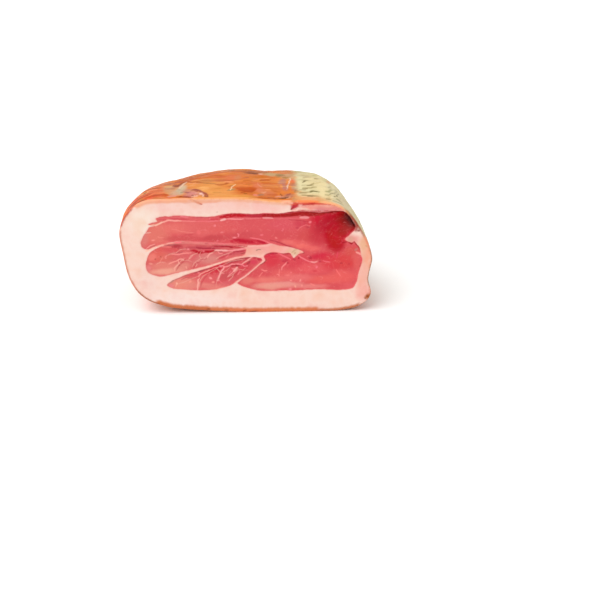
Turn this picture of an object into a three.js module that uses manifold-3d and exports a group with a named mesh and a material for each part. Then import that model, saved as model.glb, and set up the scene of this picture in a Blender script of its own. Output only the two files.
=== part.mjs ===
// Half of a boneless cured ham, lying on its side with the cut towards -Y.
// A coat of fat with its rind holds three lean muscles, which show in the cut and run back through the ham.
// Millimetres, +Z up. The origin is on the table, under the middle of the ham.

import * as THREE from "three";
import { mergeVertices } from "three/addons/utils/BufferGeometryUtils.js";
import Module from "manifold-3d";

const wasm = await Module();
wasm.setup();

// Driving dimensions of the whole ham.
const FACE_WIDTH = 240;
const FACE_HEIGHT = 115;
const LENGTH = 185;
const FACE_Y = -LENGTH / 2;

// The line that every section shrinks towards on its way to the back end.
const AXIS_X = -2;
const AXIS_HEIGHT = 48;
const AXIS_DRIFT = -14;
const DRIFT_POWER = 1.3;

// How bluntly the ham tapers: a larger power keeps it full for longer.
const TAPER_POWER = 2.2;
const WIDTH_ROUNDING = 0.45;
const HEIGHT_ROUNDING = 0.42;
// Behind the cut the top swells, more on the right than on the left, and the corners grow rounder.
const TOP_SWELL = 0.12;
const TOP_TILT = 0.17;
const CORNER_ROUNDING = 0.5;
const CORNER_POWER = 2.2;

// Relief of the rind: broad lumps all over, and folds where it is wrinkled.
const LUMP_HEIGHT = 1.4;
const LUMP_SPACING = 46;
const LUMP_TOP_X = 22;
const LUMP_SLANT = 0.22;
const FOLD_HEIGHT = 0.9;
const FOLD_SPACING = 12;
const FOLD_SLANT = 0.12;
const FOLD_START_X = 38;
const FOLD_FULL_X = 62;
const RELIEF_START = 26;

// The lean: how far its cut sits behind the fat's, how far back it runs, how much faster than the ham
// it tapers, and its clearance.
const LEAN_SINK = 0.5;
const LEAN_LENGTH = 0.76 * LENGTH;
const LEAN_TAPER = 0.12;
const LEAN_STEPS = 7;
const CLEARANCE = 0.4;

// How finely the skin and the muscles are faceted, and how near to a point the skin closes.
const SKIN_POINTS = 88;
const SKIN_STEPS = 34;
const SKIN_END = 0.99995 * LENGTH;
const MAIN_LEAN_POINTS = 104;
const MIDDLE_LEAN_POINTS = 52;
const LOWER_LEAN_POINTS = 52;
// How far the cutters of the muscles' rooms stand out in front of the cut.
const OPEN_FRONT = 4;

// The pocket that the bone left, high on the right of the cut: it slopes in from the left.
const POCKET = { x: 82, height: 91.5, halfWidth: 21, halfHeight: 9.5, depth: 9, slope: 27 };
// A crack in the rim of the rind, and a dimple where red meat shows through the fat.
const CRACK = { x: -45, height: 115, halfWidth: 5, halfHeight: 2.6, depth: 9, slope: 0 };
const DIMPLE = { x: 46.5, height: 109, halfWidth: 3.6, halfHeight: 3.4, depth: 3, slope: 0 };
const POCKET_SIDES = 18;
const POCKET_RINGS = 10;

const FAT_COLOUR = 0xf6d9c6;
const LEAN_COLOUR = 0xd2525a;
const MIDDLE_LEAN_COLOUR = 0xd66a66;
const LOWER_LEAN_COLOUR = 0xcc5257;
const MEAT_ROUGHNESS = 0.45;

// Outlines in the plane of the cut: across from the middle, and up from the table.
const FACE_OUTLINE = [
  [20, -1], [-18, 0.4], [-55, 2.4], [-82, 6.4], [-100, 18], [-110.5, 35], [-116.5, 61],
  [-120, 83], [-113, 99], [-97, 112.5], [-68, FACE_HEIGHT], [-4, FACE_HEIGHT], [34, 111.5],
  [66, 110.6], [90, 106], [103.6, 96], [114, 76], [120.55, 54],
  [117.2, 33], [119.6, 16], [108, 5], [72, -1],
];
const MAIN_LEAN_OUTLINE = [
  [-90, 91.5], [-80, 97.5], [-42, 97.2], [-4, 101.2], [28, 100.8], [50, 103.6],
  [76, 102.4], [92, 101.6], [101, 95], [105, 86], [97, 76.6], [104.5, 70.5],
  [110.4, 58], [107, 40], [102, 25.6], [70, 22], [20, 21],
  [-5, 27.6], [-7.4, 32.6], [7.5, 44.6], [19.6, 54.2], [21, 59.6], [40, 59.4],
  [48.5, 56.4], [54.5, 62], [42, 67.6], [28, 70.6], [-12, 70.9], [-52, 72.4],
  [-79, 69.8], [-92.6, 64.6], [-100.4, 69], [-98.6, 79], [-93.4, 86.4],
];
const MIDDLE_LEAN_OUTLINE = [
  [-90, 61.4], [-78, 66.6], [-52, 69.6], [-13, 68.2], [-2, 66], [-3, 60.4],
  [-29, 51], [-58, 42.4], [-84, 37.8], [-94.6, 43.6], [-95.6, 55],
];
const LOWER_LEAN_OUTLINE = [
  [-75.5, 29], [-58, 36.6], [-29, 46.6], [-2, 56], [14, 57.6], [16.4, 54.6],
  [-7.6, 36.6], [-22, 25.6], [-50, 23], [-70, 24.6],
];

// Where a point of the cut lies once its section has moved back by depth.
function sectionPoint(x, height, depth) {
  const back = depth / LENGTH;
  const across = (x - AXIS_X) / (FACE_WIDTH / 2);
  const up = (height - AXIS_HEIGHT) / (FACE_HEIGHT / 2);
  const left = 1 - back ** TAPER_POWER;
  const drifted = back ** DRIFT_POWER;
  const corner = 1 + CORNER_ROUNDING * back ** CORNER_POWER * (across * up) ** 2;
  const swell = 1 + Math.sin(Math.PI * back) * (TOP_SWELL + (up > 0 ? TOP_TILT * across : 0));
  return new THREE.Vector2(
    AXIS_X + AXIS_DRIFT * drifted + ((x - AXIS_X) * left ** WIDTH_ROUNDING) / corner,
    AXIS_HEIGHT + ((height - AXIS_HEIGHT) * swell * left ** HEIGHT_ROUNDING) / corner,
  );
}

// How far the rind stands out there: broad lumps, and long folds across its wrinkled end.
function rindRelief(x, height, depth) {
  const turn = (2 * Math.PI) / LUMP_SPACING;
  const lumps = Math.cos(turn * (x - LUMP_TOP_X)) * Math.sin(turn * (depth + LUMP_SLANT * height));
  const folded = THREE.MathUtils.smoothstep(x, FOLD_START_X, FOLD_FULL_X);
  const folds = Math.sin((2 * Math.PI * (depth + FOLD_SLANT * x)) / FOLD_SPACING);
  const grown = THREE.MathUtils.smoothstep(depth, 0, RELIEF_START);
  const kept = THREE.MathUtils.smoothstep(LENGTH - depth, 0, RELIEF_START);
  return grown * kept * (LUMP_HEIGHT * lumps + FOLD_HEIGHT * folded * folds);
}

// A point of the skin, pushed out by its relief and flattened where it meets the table.
function skinPoint(x, height, depth) {
  const point = sectionPoint(x, height, depth);
  const outwards = new THREE.Vector2(point.x - AXIS_X, point.y - AXIS_HEIGHT).normalize();
  point.addScaledVector(outwards, rindRelief(point.x, point.y, depth));
  point.y = Math.max(point.y, 0);
  return point;
}

// Where a point of a muscle lies at a depth: the fat grows a little thicker towards the back.
function leanPoint(x, height, depth) {
  const kept = 1 - (LEAN_TAPER * depth) / LENGTH;
  return sectionPoint(AXIS_X + (x - AXIS_X) * kept, AXIS_HEIGHT + (height - AXIS_HEIGHT) * kept, depth);
}

// The points that a smooth closed curve through an outline passes, evenly spaced.
function smoothLoop(outline, count) {
  const points = outline.map(([x, height]) => new THREE.Vector3(x, height, 0));
  const curve = new THREE.CatmullRomCurve3(points, true, "centripetal");
  return curve.getSpacedPoints(count).slice(0, count).map((p) => new THREE.Vector2(p.x, p.y));
}

// The loop moved outwards by a distance, or inwards by a negative one.
function grownLoop(loop, distance) {
  const clockwise = THREE.ShapeUtils.isClockWise(loop);
  return loop.map((point, i) => {
    const before = loop[(i + loop.length - 1) % loop.length];
    const after = loop[(i + 1) % loop.length];
    const along = after.clone().sub(before).normalize();
    const outwards = new THREE.Vector2(along.y, -along.x).multiplyScalar(clockwise ? -1 : 1);
    return point.clone().addScaledVector(outwards, distance);
  });
}

// Sweeps a loop of the cut back through the ham. depthAt gives the depth at a share of the way from 0 to 1,
// and place puts a point of the loop at a depth.
function sweptBack(loop, steps, depthAt, place) {
  const geometry = new THREE.ExtrudeGeometry(new THREE.Shape(loop), {
    depth: 1,
    steps,
    bevelEnabled: false,
  });
  const position = geometry.getAttribute("position");
  for (let i = 0; i < position.count; i++) {
    const depth = depthAt(1 - position.getZ(i));
    const point = place(position.getX(i), position.getY(i), depth);
    position.setXYZ(i, point.x, FACE_Y + depth, point.y);
  }
  return geometry;
}

// A closed geometry as a solid for joining and cutting.
function solidOf(geometry) {
  const bare = geometry.clone();
  bare.deleteAttribute("normal");
  bare.deleteAttribute("uv");
  const merged = mergeVertices(bare, 1e-4);
  return new wasm.Manifold(
    new wasm.Mesh({
      numProp: 3,
      vertProperties: new Float32Array(merged.getAttribute("position").array),
      triVerts: new Uint32Array(merged.index.array),
    }),
  );
}

// A solid turned back into a geometry with flat facets.
function geometryOf(solid) {
  const mesh = solid.getMesh();
  const geometry = new THREE.BufferGeometry();
  geometry.setAttribute("position", new THREE.BufferAttribute(mesh.vertProperties, 3));
  geometry.setIndex(new THREE.BufferAttribute(mesh.triVerts, 1));
  const faceted = geometry.toNonIndexed();
  faceted.computeVertexNormals();
  return faceted;
}

// A rounded hollow sunk into the cut face, as the solid to take away.
function hollow({ x, height, halfWidth, halfHeight, depth, slope }) {
  const ball = new THREE.SphereGeometry(1, POCKET_SIDES, POCKET_RINGS);
  ball.scale(halfWidth, depth, halfHeight);
  ball.rotateZ(THREE.MathUtils.degToRad(slope));
  ball.translate(x, FACE_Y, height);
  return solidOf(ball);
}

function hamBody() {
  const loop = smoothLoop(FACE_OUTLINE, SKIN_POINTS);
  const depthAt = (step) => SKIN_END * Math.sin((Math.PI / 2) * step);
  return solidOf(sweptBack(loop, SKIN_STEPS, depthAt, skinPoint));
}

// A muscle as a solid. The room it needs in the fat is the same solid grown by the clearance, and open
// in front.
function muscle(outline, points) {
  const loop = smoothLoop(outline, points);
  const lean = sweptBack(
    loop,
    LEAN_STEPS,
    (step) => LEAN_SINK + (LEAN_LENGTH - LEAN_SINK) * step,
    leanPoint,
  );
  const room = sweptBack(
    grownLoop(loop, CLEARANCE),
    LEAN_STEPS,
    (step) => (LEAN_LENGTH + CLEARANCE) * step,
    leanPoint,
  );
  const mouth = sweptBack(
    grownLoop(loop, CLEARANCE),
    1,
    (step) => OPEN_FRONT * (step - 1),
    (x, height) => new THREE.Vector2(x, height),
  );
  return { lean: solidOf(lean), room: solidOf(room).add(solidOf(mouth)) };
}

function meatMesh(name, solid, color) {
  const material = new THREE.MeshStandardMaterial({ color, roughness: MEAT_ROUGHNESS, metalness: 0 });
  const mesh = new THREE.Mesh(geometryOf(solid), material);
  mesh.name = name;
  return mesh;
}

const mainLean = muscle(MAIN_LEAN_OUTLINE, MAIN_LEAN_POINTS);
const middleLean = muscle(MIDDLE_LEAN_OUTLINE, MIDDLE_LEAN_POINTS);
const lowerLean = muscle(LOWER_LEAN_OUTLINE, LOWER_LEAN_POINTS);
const pocket = hollow(POCKET);

const coat = hamBody()
  .subtract(mainLean.room)
  .subtract(middleLean.room)
  .subtract(lowerLean.room)
  .subtract(pocket)
  .subtract(hollow(CRACK))
  .subtract(hollow(DIMPLE));

const ham = new THREE.Group();
ham.add(meatMesh("fat_with_rind", coat, FAT_COLOUR));
ham.add(meatMesh("main_lean", mainLean.lean.subtract(pocket), LEAN_COLOUR));
ham.add(meatMesh("middle_lean", middleLean.lean, MIDDLE_LEAN_COLOUR));
ham.add(meatMesh("lower_lean", lowerLean.lean, LOWER_LEAN_COLOUR));

export default ham;
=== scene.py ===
"""Half of a pressed, boneless cured ham: the marbled cut in front, and the smoked rind all round it.

Lengths in this file are millimetres unless a name ends in _m. A place on the cut is given as (x, height), and
a place on the rind as (x, depth), where depth runs back from the plane of the cut.
"""

import logging
import math
from dataclasses import dataclass, field
from enum import Enum, IntEnum
from itertools import product

import bmesh
import bpy
import numpy as np
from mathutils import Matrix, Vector
from mathutils.geometry import delaunay_2d_cdt
from mathutils.kdtree import KDTree


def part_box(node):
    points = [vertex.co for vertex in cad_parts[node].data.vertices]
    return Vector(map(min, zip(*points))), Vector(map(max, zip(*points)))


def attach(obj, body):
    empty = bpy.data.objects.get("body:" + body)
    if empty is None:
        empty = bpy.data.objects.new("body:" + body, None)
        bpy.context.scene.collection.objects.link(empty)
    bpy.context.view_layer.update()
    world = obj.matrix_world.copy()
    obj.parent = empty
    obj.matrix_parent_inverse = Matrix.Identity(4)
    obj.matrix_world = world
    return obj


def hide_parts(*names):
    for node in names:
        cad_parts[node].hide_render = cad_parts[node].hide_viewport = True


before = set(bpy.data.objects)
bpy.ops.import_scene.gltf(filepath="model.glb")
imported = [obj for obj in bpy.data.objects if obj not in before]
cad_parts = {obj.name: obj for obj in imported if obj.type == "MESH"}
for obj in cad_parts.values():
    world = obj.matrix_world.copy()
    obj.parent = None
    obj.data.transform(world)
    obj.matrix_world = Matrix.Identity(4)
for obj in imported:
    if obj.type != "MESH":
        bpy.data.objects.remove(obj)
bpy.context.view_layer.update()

MM = 0.001
FACE_Y_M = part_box("fat_with_rind")[0][1]
TINT = "tint"
SMOKED = "smoked"
# The colours are read off a lit surface, so they hold its gloss. This much light is the gloss's own.
GLOSS_SHARE = 0.018
# The lamp and the sky are this much brighter than the ones that the colours below were matched under.
LIGHT_LEVEL = 1.2
# No colour is darker than this, in linear light.
DARKEST = 0.003
LOG = logging.getLogger("ham")

Places = tuple[tuple[float, float], ...]


class Lean(Enum):
    """The three muscles that show in the cut, each with the name of its node."""

    MAIN = "main_lean"
    MIDDLE = "middle_lean"
    LOWER = "lower_lean"


class Seed(IntEnum):
    """Which noise each thing has."""

    LUMPS = 31
    SCUFFS = 33
    CLOTH = 35
    RIM_EDGE = 41
    PALE_EDGE = 51
    PALE_LOW = 53
    CLOUDS = 55
    CREAM = 61
    LEAN_EDGE = 60
    WRINKLES = 71
    WAVES = 81
    RIPPLES = 85
    RIM_BANDS = 90
    FAT_PAINT = 100
    LEAN_PAINT = 140
    RIND_PAINT = 200
    PALE_PAINT = 230
    STREAK_PAINT = 260


# Small helpers.


def linear(code: str) -> np.ndarray:
    """Turns a colour from sRGB to linear light.

    Args:
        code: The colour as a hex value, such as "#E8803F".

    Returns:
        Red, green and blue from 0 to 1.
    """
    srgb = np.array([int(code[i : i + 2], 16) / 255 for i in (1, 3, 5)])
    return np.where(srgb <= 0.04045, srgb / 12.92, ((srgb + 0.055) / 1.055) ** 2.4)


def smoothstep(value: np.ndarray, low: float, high: float) -> np.ndarray:
    """Rises smoothly from 0 at low to 1 at high.

    Args:
        value: Where to read the curve.
        low: The value at and below which it is 0.
        high: The value at and above which it is 1.

    Returns:
        The height of the curve at each value.
    """
    share = np.clip((value - low) / (high - low), 0, 1)
    return share * share * (3 - 2 * share)


def lattice_noise(places: np.ndarray, seed: int) -> np.ndarray:
    """Smooth noise with one bump or dip to each unit of length.

    Args:
        places: One row of coordinates for each point.
        seed: Which of many patterns to use.

    Returns:
        A value from -1 to 1 for each point.
    """
    steps = np.array([73856093, 19349663, 83492791])[: places.shape[1]]
    cell = np.floor(places).astype(np.int64)
    part = places - cell
    part = part * part * (3 - 2 * part)
    total = np.zeros(len(places))
    for corner in product((0, 1), repeat=places.shape[1]):
        mixed = ((cell + corner) * steps).sum(axis=1) + seed * 7919
        mixed = (mixed ^ (mixed >> 15)) * 2246822519
        mixed = (mixed ^ (mixed >> 13)) * 3266489917
        value = ((mixed ^ (mixed >> 16)) & 0xFFFF) / 32767.5 - 1
        total += value * np.prod(np.where(corner, part, 1 - part), axis=1)
    return total


def layered_noise(places: np.ndarray, seed: int, layers: int = 3) -> np.ndarray:
    """Sum of ever finer and weaker noise.

    Args:
        places: One row of coordinates for each point.
        seed: Which of many patterns to use.
        layers: How many sizes of noise are added.

    Returns:
        A value of about -1 to 1 for each point.
    """
    total = np.zeros(len(places))
    for layer in range(layers):
        total += 0.5**layer * lattice_noise(places * 2**layer + 11.3 * layer, seed + layer)
    return total / (2 - 0.5 ** (layers - 1))


def line_distance(places: np.ndarray, line: Places) -> tuple[np.ndarray, np.ndarray]:
    """How far points lie from an open line of straight pieces.

    Args:
        places: One (x, y) row for each point.
        line: The corners of the line.

    Returns:
        The distance of each point, and how far along the line its nearest place is, from 0 to 1.
    """
    corners = np.asarray(line, float)
    lengths = np.linalg.norm(np.diff(corners, axis=0), axis=1)
    nearest = np.full(len(places), np.inf)
    run = np.zeros(len(places))
    before = 0.0
    for start, end, length in zip(corners[:-1], corners[1:], lengths):
        along = np.clip((places - start) @ (end - start) / length**2, 0, 1)
        gap = np.linalg.norm(places - start - along[:, None] * (end - start), axis=1)
        nearer = gap < nearest
        nearest[nearer] = gap[nearer]
        run[nearer] = before + along[nearer] * length
        before += length
    return nearest, run / before


def smooth_loop(outline: Places, spacing: float) -> np.ndarray:
    """A smooth closed curve through the corners of an outline, as evenly spaced points.

    Args:
        outline: The corners.
        spacing: The distance between the points.

    Returns:
        One (x, y) row for each point.
    """
    corners = np.asarray(outline, float)
    before, after, beyond = (np.roll(corners, shift, axis=0) for shift in (1, -1, -2))
    pairs = ((before, corners), (corners, after), (after, beyond))
    first, middle, last = (np.sqrt(np.linalg.norm(b - a, axis=1))[:, None] for a, b in pairs)
    leaving = (corners - before) / first - (after - before) / (first + middle) + (after - corners) / middle
    arriving = (after - corners) / middle - (beyond - corners) / (middle + last) + (beyond - after) / last
    leaving, arriving = leaving * middle, arriving * middle
    fine = []
    for share in np.linspace(0, 1, 40, endpoint=False):
        fine.append(
            corners
            + leaving * share
            + (3 * (after - corners) - 2 * leaving - arriving) * share**2
            + (2 * (corners - after) + leaving + arriving) * share**3
        )
    curve = np.stack(fine, axis=1).reshape(-1, 2)
    return evenly_spaced(np.vstack([curve, curve[:1]]), spacing)[:-1]


def evenly_spaced(curve: np.ndarray, spacing: float) -> np.ndarray:
    """A curve drawn again with even steps.

    Args:
        curve: One row of coordinates for each point of the curve.
        spacing: About how long each step is.

    Returns:
        The new points, with the first and the last of the old ones.
    """
    run = np.concatenate([[0], np.cumsum(np.linalg.norm(np.diff(curve, axis=0), axis=1))])
    stations = np.linspace(0, run[-1], max(2, round(run[-1] / spacing) + 1))
    return np.column_stack([np.interp(stations, run, column) for column in curve.T])


def loop_tree(loop: np.ndarray, spacing: float = 0.25) -> tuple[KDTree, np.ndarray]:
    """A search tree over the points of a closed loop.

    Args:
        loop: One (x, y) row for each point.
        spacing: How finely the loop is followed.

    Returns:
        The tree and the points in it.
    """
    fine = evenly_spaced(np.vstack([loop, loop[:1]]), spacing)[:-1]
    tree = KDTree(len(fine))
    for index, (x, y) in enumerate(fine):
        tree.insert((x, y, 0), index)
    tree.balance()
    return tree, fine


def loop_distance(places: np.ndarray, loop: np.ndarray) -> tuple[np.ndarray, np.ndarray]:
    """How far points lie from a closed loop.

    Args:
        places: One (x, y) row for each point.
        loop: The points of the loop.

    Returns:
        The distance of each point, and how far round the loop its nearest place is, from 0 to 1.
    """
    tree, fine = loop_tree(loop)
    found = [tree.find((x, y, 0)) for x, y in places]
    return np.array([hit[2] for hit in found]), np.array([hit[1] / len(fine) for hit in found])


def inside(places: np.ndarray, loop: np.ndarray) -> np.ndarray:
    """Which points lie inside a closed loop.

    Args:
        places: One (x, y) row for each point.
        loop: The points of the loop.

    Returns:
        True for each point inside.
    """
    within = np.zeros(len(places), bool)
    for (x0, y0), (x1, y1) in zip(loop, np.roll(loop, -1, axis=0)):
        crossing = (y0 > places[:, 1]) != (y1 > places[:, 1])
        if crossing.any():
            meets = x0 + (places[crossing, 1] - y0) / (y1 - y0) * (x1 - x0)
            within[crossing] ^= places[crossing, 0] < meets
    return within


def add_node(
    tree: bpy.types.NodeTree, kind: str, settings: dict | None = None, links: dict | None = None
) -> bpy.types.Node:
    """Adds a node to a material.

    Args:
        tree: The material's node tree.
        kind: The node's type.
        settings: Values for its inputs, by name or number, or for its own properties.
        links: The output that goes into each input, by name or number.

    Returns:
        The new node.
    """
    node = tree.nodes.new(kind)
    for name, value in (settings or {}).items():
        if isinstance(name, int) or name in node.inputs:
            node.inputs[name].default_value = value
        else:
            setattr(node, name, value)
    for name, socket in (links or {}).items():
        tree.links.new(socket, node.inputs[name])
    return node


# The shape of the ham.


FACE_OUTLINE: Places = (
    (20, -1), (-18, 1), (-54, 3.6), (-80.8, 8), (-100.4, 18), (-111, 34.4), (-116.4, 61), (-119.2, 82.6),
    (-113, 99), (-97, 112.5), (-68, 115), (-4, 115), (34, 111.5), (66, 110.6), (89, 106), (100.4, 95.4),
    (109.4, 82.2), (115.6, 71), (120.55, 54), (117.2, 33), (119.6, 16), (108, 5), (72, -1),
)

LEAN_OUTLINES: dict[Lean, Places] = {
    Lean.MAIN: (
        (-84.2, 96.2), (-79.9, 98.1), (-75.9, 98.7), (-71.3, 98.5), (-63.4, 99.3), (-53.3, 98.5),
        (-41.9, 97.9), (-31.9, 97.8), (-24, 99.2), (-17.5, 100.4), (-8.8, 100.9), (9, 99.9), (18.3, 100.7),
        (32.4, 100.2), (40.2, 101.3), (46.5, 102.1), (55.8, 102.2), (63.6, 101.3), (71.5, 100.8),
        (81.6, 101.8), (90.2, 102.1), (94.6, 100.4), (98.4, 96.2), (101.4, 91.8), (103.8, 87.4),
        (103.4, 83), (100.7, 79.9), (97.2, 76.2), (94.5, 73.7), (97.6, 71.2), (100.9, 70.3), (103, 71.5),
        (105.6, 68.6), (108.4, 64.8), (109, 61.4), (109.8, 57.2), (111, 53.3), (110.2, 47.4), (108, 40.6),
        (105.9, 29.8), (102.3, 23.8), (90, 21.9), (70.9, 22.9), (43.9, 22), (34.7, 22.2), (23.6, 21.9),
        (11.7, 22.5), (1.7, 25.2), (-4.7, 27.5), (-8.6, 30.7), (-6.8, 32.2), (3, 39.9), (12.1, 48.1),
        (18.2, 53.6), (16.9, 57.2), (20.1, 60.4), (27.4, 61.6), (33.8, 60.3), (42, 60.3), (43.8, 57.9),
        (45.6, 55.4), (47.9, 57.4), (50.6, 59.7), (54.7, 60.9), (48.4, 64.3), (42, 66.3), (31.1, 68),
        (23.8, 70.2), (20.2, 69.5), (10.6, 68.8), (0.8, 68.8), (-10.7, 69.9), (-28.9, 71.4), (-42.6, 72.3),
        (-54.1, 73.1), (-64.2, 73.6), (-72.2, 72.3), (-81.6, 70.1), (-88.2, 67.7), (-93.4, 65.8),
        (-98.4, 68.2), (-99.3, 72.1), (-97.7, 76.7), (-95.3, 81.1), (-92.3, 85.7), (-90.6, 87.9),
        (-86.6, 89.1), (-91.3, 90.8), (-88.3, 92.5), (-82.9, 93.6),
    ),
    Lean.MIDDLE: (
        (-95.4, 48.6), (-94.4, 54.5), (-91, 62.4), (-85.3, 66.5), (-78.2, 69.2), (-70.4, 71.1),
        (-59.4, 71.5), (-46.9, 70.8), (-31.9, 69.8), (-16.2, 68.7), (-3, 67.1), (0, 65.6), (-0.4, 60.6),
        (-2.5, 58.6), (-12.5, 56.3), (-24.3, 52.3), (-36.3, 48.6), (-47.4, 45.8), (-60.2, 43),
        (-71.4, 40.2), (-80.9, 38.2), (-87.8, 39.7), (-93.2, 42.7),
    ),
    Lean.LOWER: (
        (-75.7, 29.3), (-71.6, 33.4), (-65.1, 36.4), (-55.7, 40.4), (-47.7, 42.8), (-36.6, 46.3),
        (-24.6, 50.6), (-12.7, 54.2), (-3.3, 56.3), (3.2, 56.8), (7.6, 56.9), (14.2, 55.4), (15.5, 53.4),
        (10.5, 48.4), (1.5, 40.5), (-8.9, 32.8), (-14.1, 28.8), (-22.4, 26), (-32.7, 24), (-46.2, 23.7),
        (-60.5, 24.7), (-71.5, 26.3),
    ),
}


@dataclass(frozen=True)
class HamForm:
    """The ham's outer shape: how the outline of the cut changes on its way to the back end."""

    face_width: float = 240
    face_height: float = 115
    length: float = 185
    axis_x: float = -2
    axis_height: float = 48
    axis_drift: float = -14
    drift_power: float = 1.3
    taper_power: float = 2.2
    width_rounding: float = 0.45
    height_rounding: float = 0.42
    top_swell: float = 0.12
    top_tilt: float = 0.17
    corner_rounding: float = 0.5
    corner_power: float = 2.2
    lump_height: float = 0.5
    lump_spacing: float = 46
    lump_top_x: float = 22
    lump_slant: float = 0.22
    fold_height: float = 0.55
    fold_spacing: float = 12
    fold_slant: float = 0.12
    fold_start_x: float = 38
    fold_full_x: float = 62
    relief_start: float = 26
    lean_taper: float = 0.12
    lean_length: float = 0.76 * 185

    def section(self, x: np.ndarray, height: np.ndarray, depth: np.ndarray) -> tuple[np.ndarray, np.ndarray]:
        """Where points of the cut lie once their section has moved back.

        Args:
            x: Across the cut.
            height: Above the table.
            depth: How far back.

        Returns:
            The new x and height.
        """
        back = depth / self.length
        across = (x - self.axis_x) / (self.face_width / 2)
        up = (height - self.axis_height) / (self.face_height / 2)
        left = 1 - back**self.taper_power
        corner = 1 + self.corner_rounding * back**self.corner_power * (across * up) ** 2
        tilt = np.where(up > 0, self.top_tilt * across, 0)
        swell = 1 + np.sin(np.pi * back) * (self.top_swell + tilt)
        drift = self.axis_drift * back**self.drift_power
        return (
            self.axis_x + drift + (x - self.axis_x) * left**self.width_rounding / corner,
            self.axis_height + (height - self.axis_height) * swell * left**self.height_rounding / corner,
        )

    def relief(self, x: np.ndarray, height: np.ndarray, depth: np.ndarray) -> np.ndarray:
        """How far the rind's broad lumps and folds stand out.

        Args:
            x: Across the ham.
            height: Above the table.
            depth: Behind the cut.

        Returns:
            The height of the relief.
        """
        turn = 2 * np.pi / self.lump_spacing
        lumps = np.cos(turn * (x - self.lump_top_x)) * np.sin(turn * (depth + self.lump_slant * height))
        folded = smoothstep(x, self.fold_start_x, self.fold_full_x)
        folds = np.sin(2 * np.pi * (depth + self.fold_slant * x) / self.fold_spacing)
        grown = smoothstep(depth, 0, self.relief_start)
        grown = grown * smoothstep(self.length - depth, 0, self.relief_start)
        return grown * (self.lump_height * lumps + self.fold_height * folded * folds)

    def lean(self, x: np.ndarray, height: np.ndarray, depth: float) -> tuple[np.ndarray, np.ndarray]:
        """Where points of a muscle lie at a depth.

        Args:
            x: Across the cut.
            height: Above the table.
            depth: How far back.

        Returns:
            The new x and height.
        """
        kept = 1 - self.lean_taper * depth / self.length
        return self.section(
            self.axis_x + (x - self.axis_x) * kept,
            self.axis_height + (height - self.axis_height) * kept,
            np.full(len(x), float(depth)),
        )


# Colours laid on the cut and the rind.


@dataclass(frozen=True)
class Patch:
    """A soft oval of colour: its middle, its half widths along the two axes, and how it is turned."""

    colour: str
    middle: tuple[float, float]
    half: tuple[float, float]
    strength: float = 1
    turn_deg: float = 0
    soft: float = 0.6


@dataclass(frozen=True)
class Stroke:
    """A line of colour, such as a vein, a seam or a smear, that tapers towards its ends."""

    colour: str
    half_width: float
    line: Places
    strength: float = 1
    taper: float = 0.25
    soft: float = 0.4


def marks(*rows: tuple) -> tuple[Patch | Stroke, ...]:
    """Makes patches and strokes from short rows.

    Args:
        rows: For a patch its colour, strength, middle, half widths and, where it is turned, its angle. For a
            stroke its colour, half width, strength and the places that its line passes.

    Returns:
        The patches and strokes, in the same order.
    """
    made = []
    for row in rows:
        if isinstance(row[2], tuple):
            made.append(Patch(row[0], row[2], row[3], row[1], *row[4:]))
        else:
            made.append(Stroke(row[0], row[1], row[3:], row[2]))
    return tuple(made)


@dataclass
class Paint:
    """The colours of many places, to which patches and strokes are added one after another."""

    places: np.ndarray
    colours: np.ndarray
    seed: int
    patch_wander: float = 1.6
    patch_spacing: float = 7
    stroke_wander: float = 0.4
    stroke_spacing: float = 3.5

    def __post_init__(self) -> None:
        """Moves the places a little, so that no edge of a patch or stroke is drawn with a ruler."""
        self.patch_places = self.wandering(self.patch_wander, self.patch_spacing, self.seed)
        self.stroke_places = self.wandering(self.stroke_wander, self.stroke_spacing, self.seed + 20)

    def wandering(self, distance: float, spacing: float, seed: int) -> np.ndarray:
        """The places after each has been moved by noise.

        Args:
            distance: How far a place moves at most.
            spacing: The size of the noise.
            seed: Which noise to use.

        Returns:
            The moved places.
        """
        shift = [layered_noise(self.places / spacing, seed + 5 * axis, 3) for axis in (0, 1)]
        return self.places + distance * np.column_stack(shift)

    def blend(self, colour: str, share: np.ndarray, where: np.ndarray) -> None:
        """Mixes a colour in.

        Args:
            colour: The sRGB hex value.
            share: How much of it each of the places gets.
            where: Which places those are.
        """
        self.colours[where] += (linear(colour) - self.colours[where]) * share[:, None]

    def patch(self, patch: Patch) -> None:
        """Lays one patch on."""
        turn = math.radians(patch.turn_deg)
        away = self.patch_places - patch.middle
        along = (away[:, 0] * math.cos(turn) + away[:, 1] * math.sin(turn)) / patch.half[0]
        across = (away[:, 1] * math.cos(turn) - away[:, 0] * math.sin(turn)) / patch.half[1]
        reach = np.hypot(along, across)
        where = np.nonzero(reach < 1 + patch.soft)[0]
        share = patch.strength * (1 - smoothstep(reach[where], 1 - patch.soft, 1 + patch.soft))
        self.blend(patch.colour, share, where)

    def stroke(self, stroke: Stroke) -> tuple[np.ndarray, np.ndarray]:
        """Draws one stroke.

        Args:
            stroke: The stroke.

        Returns:
            The numbers of the places that it reaches, and its share at each.
        """
        line = np.asarray(stroke.line, float)
        margin = 2 * stroke.half_width + 1
        low, high = line.min(axis=0) - margin, line.max(axis=0) + margin
        where = np.nonzero(((self.stroke_places > low) & (self.stroke_places < high)).all(axis=1))[0]
        if not len(where):
            return where, np.zeros(0)
        gap, along = line_distance(self.stroke_places[where], stroke.line)
        ends = np.clip(np.minimum(along, 1 - along) / stroke.taper, 0, 1)
        half = stroke.half_width * (0.35 + 0.65 * np.sqrt(ends))
        share = stroke.strength * (1 - smoothstep(gap / half, 1 - stroke.soft, 1 + stroke.soft))
        self.blend(stroke.colour, share, where)
        return where, share

    def lay(self, marks: tuple[Patch | Stroke, ...]) -> None:
        """Lays patches and strokes on in order."""
        for mark in marks:
            if isinstance(mark, Patch):
                self.patch(mark)
            else:
                self.stroke(mark)


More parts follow.
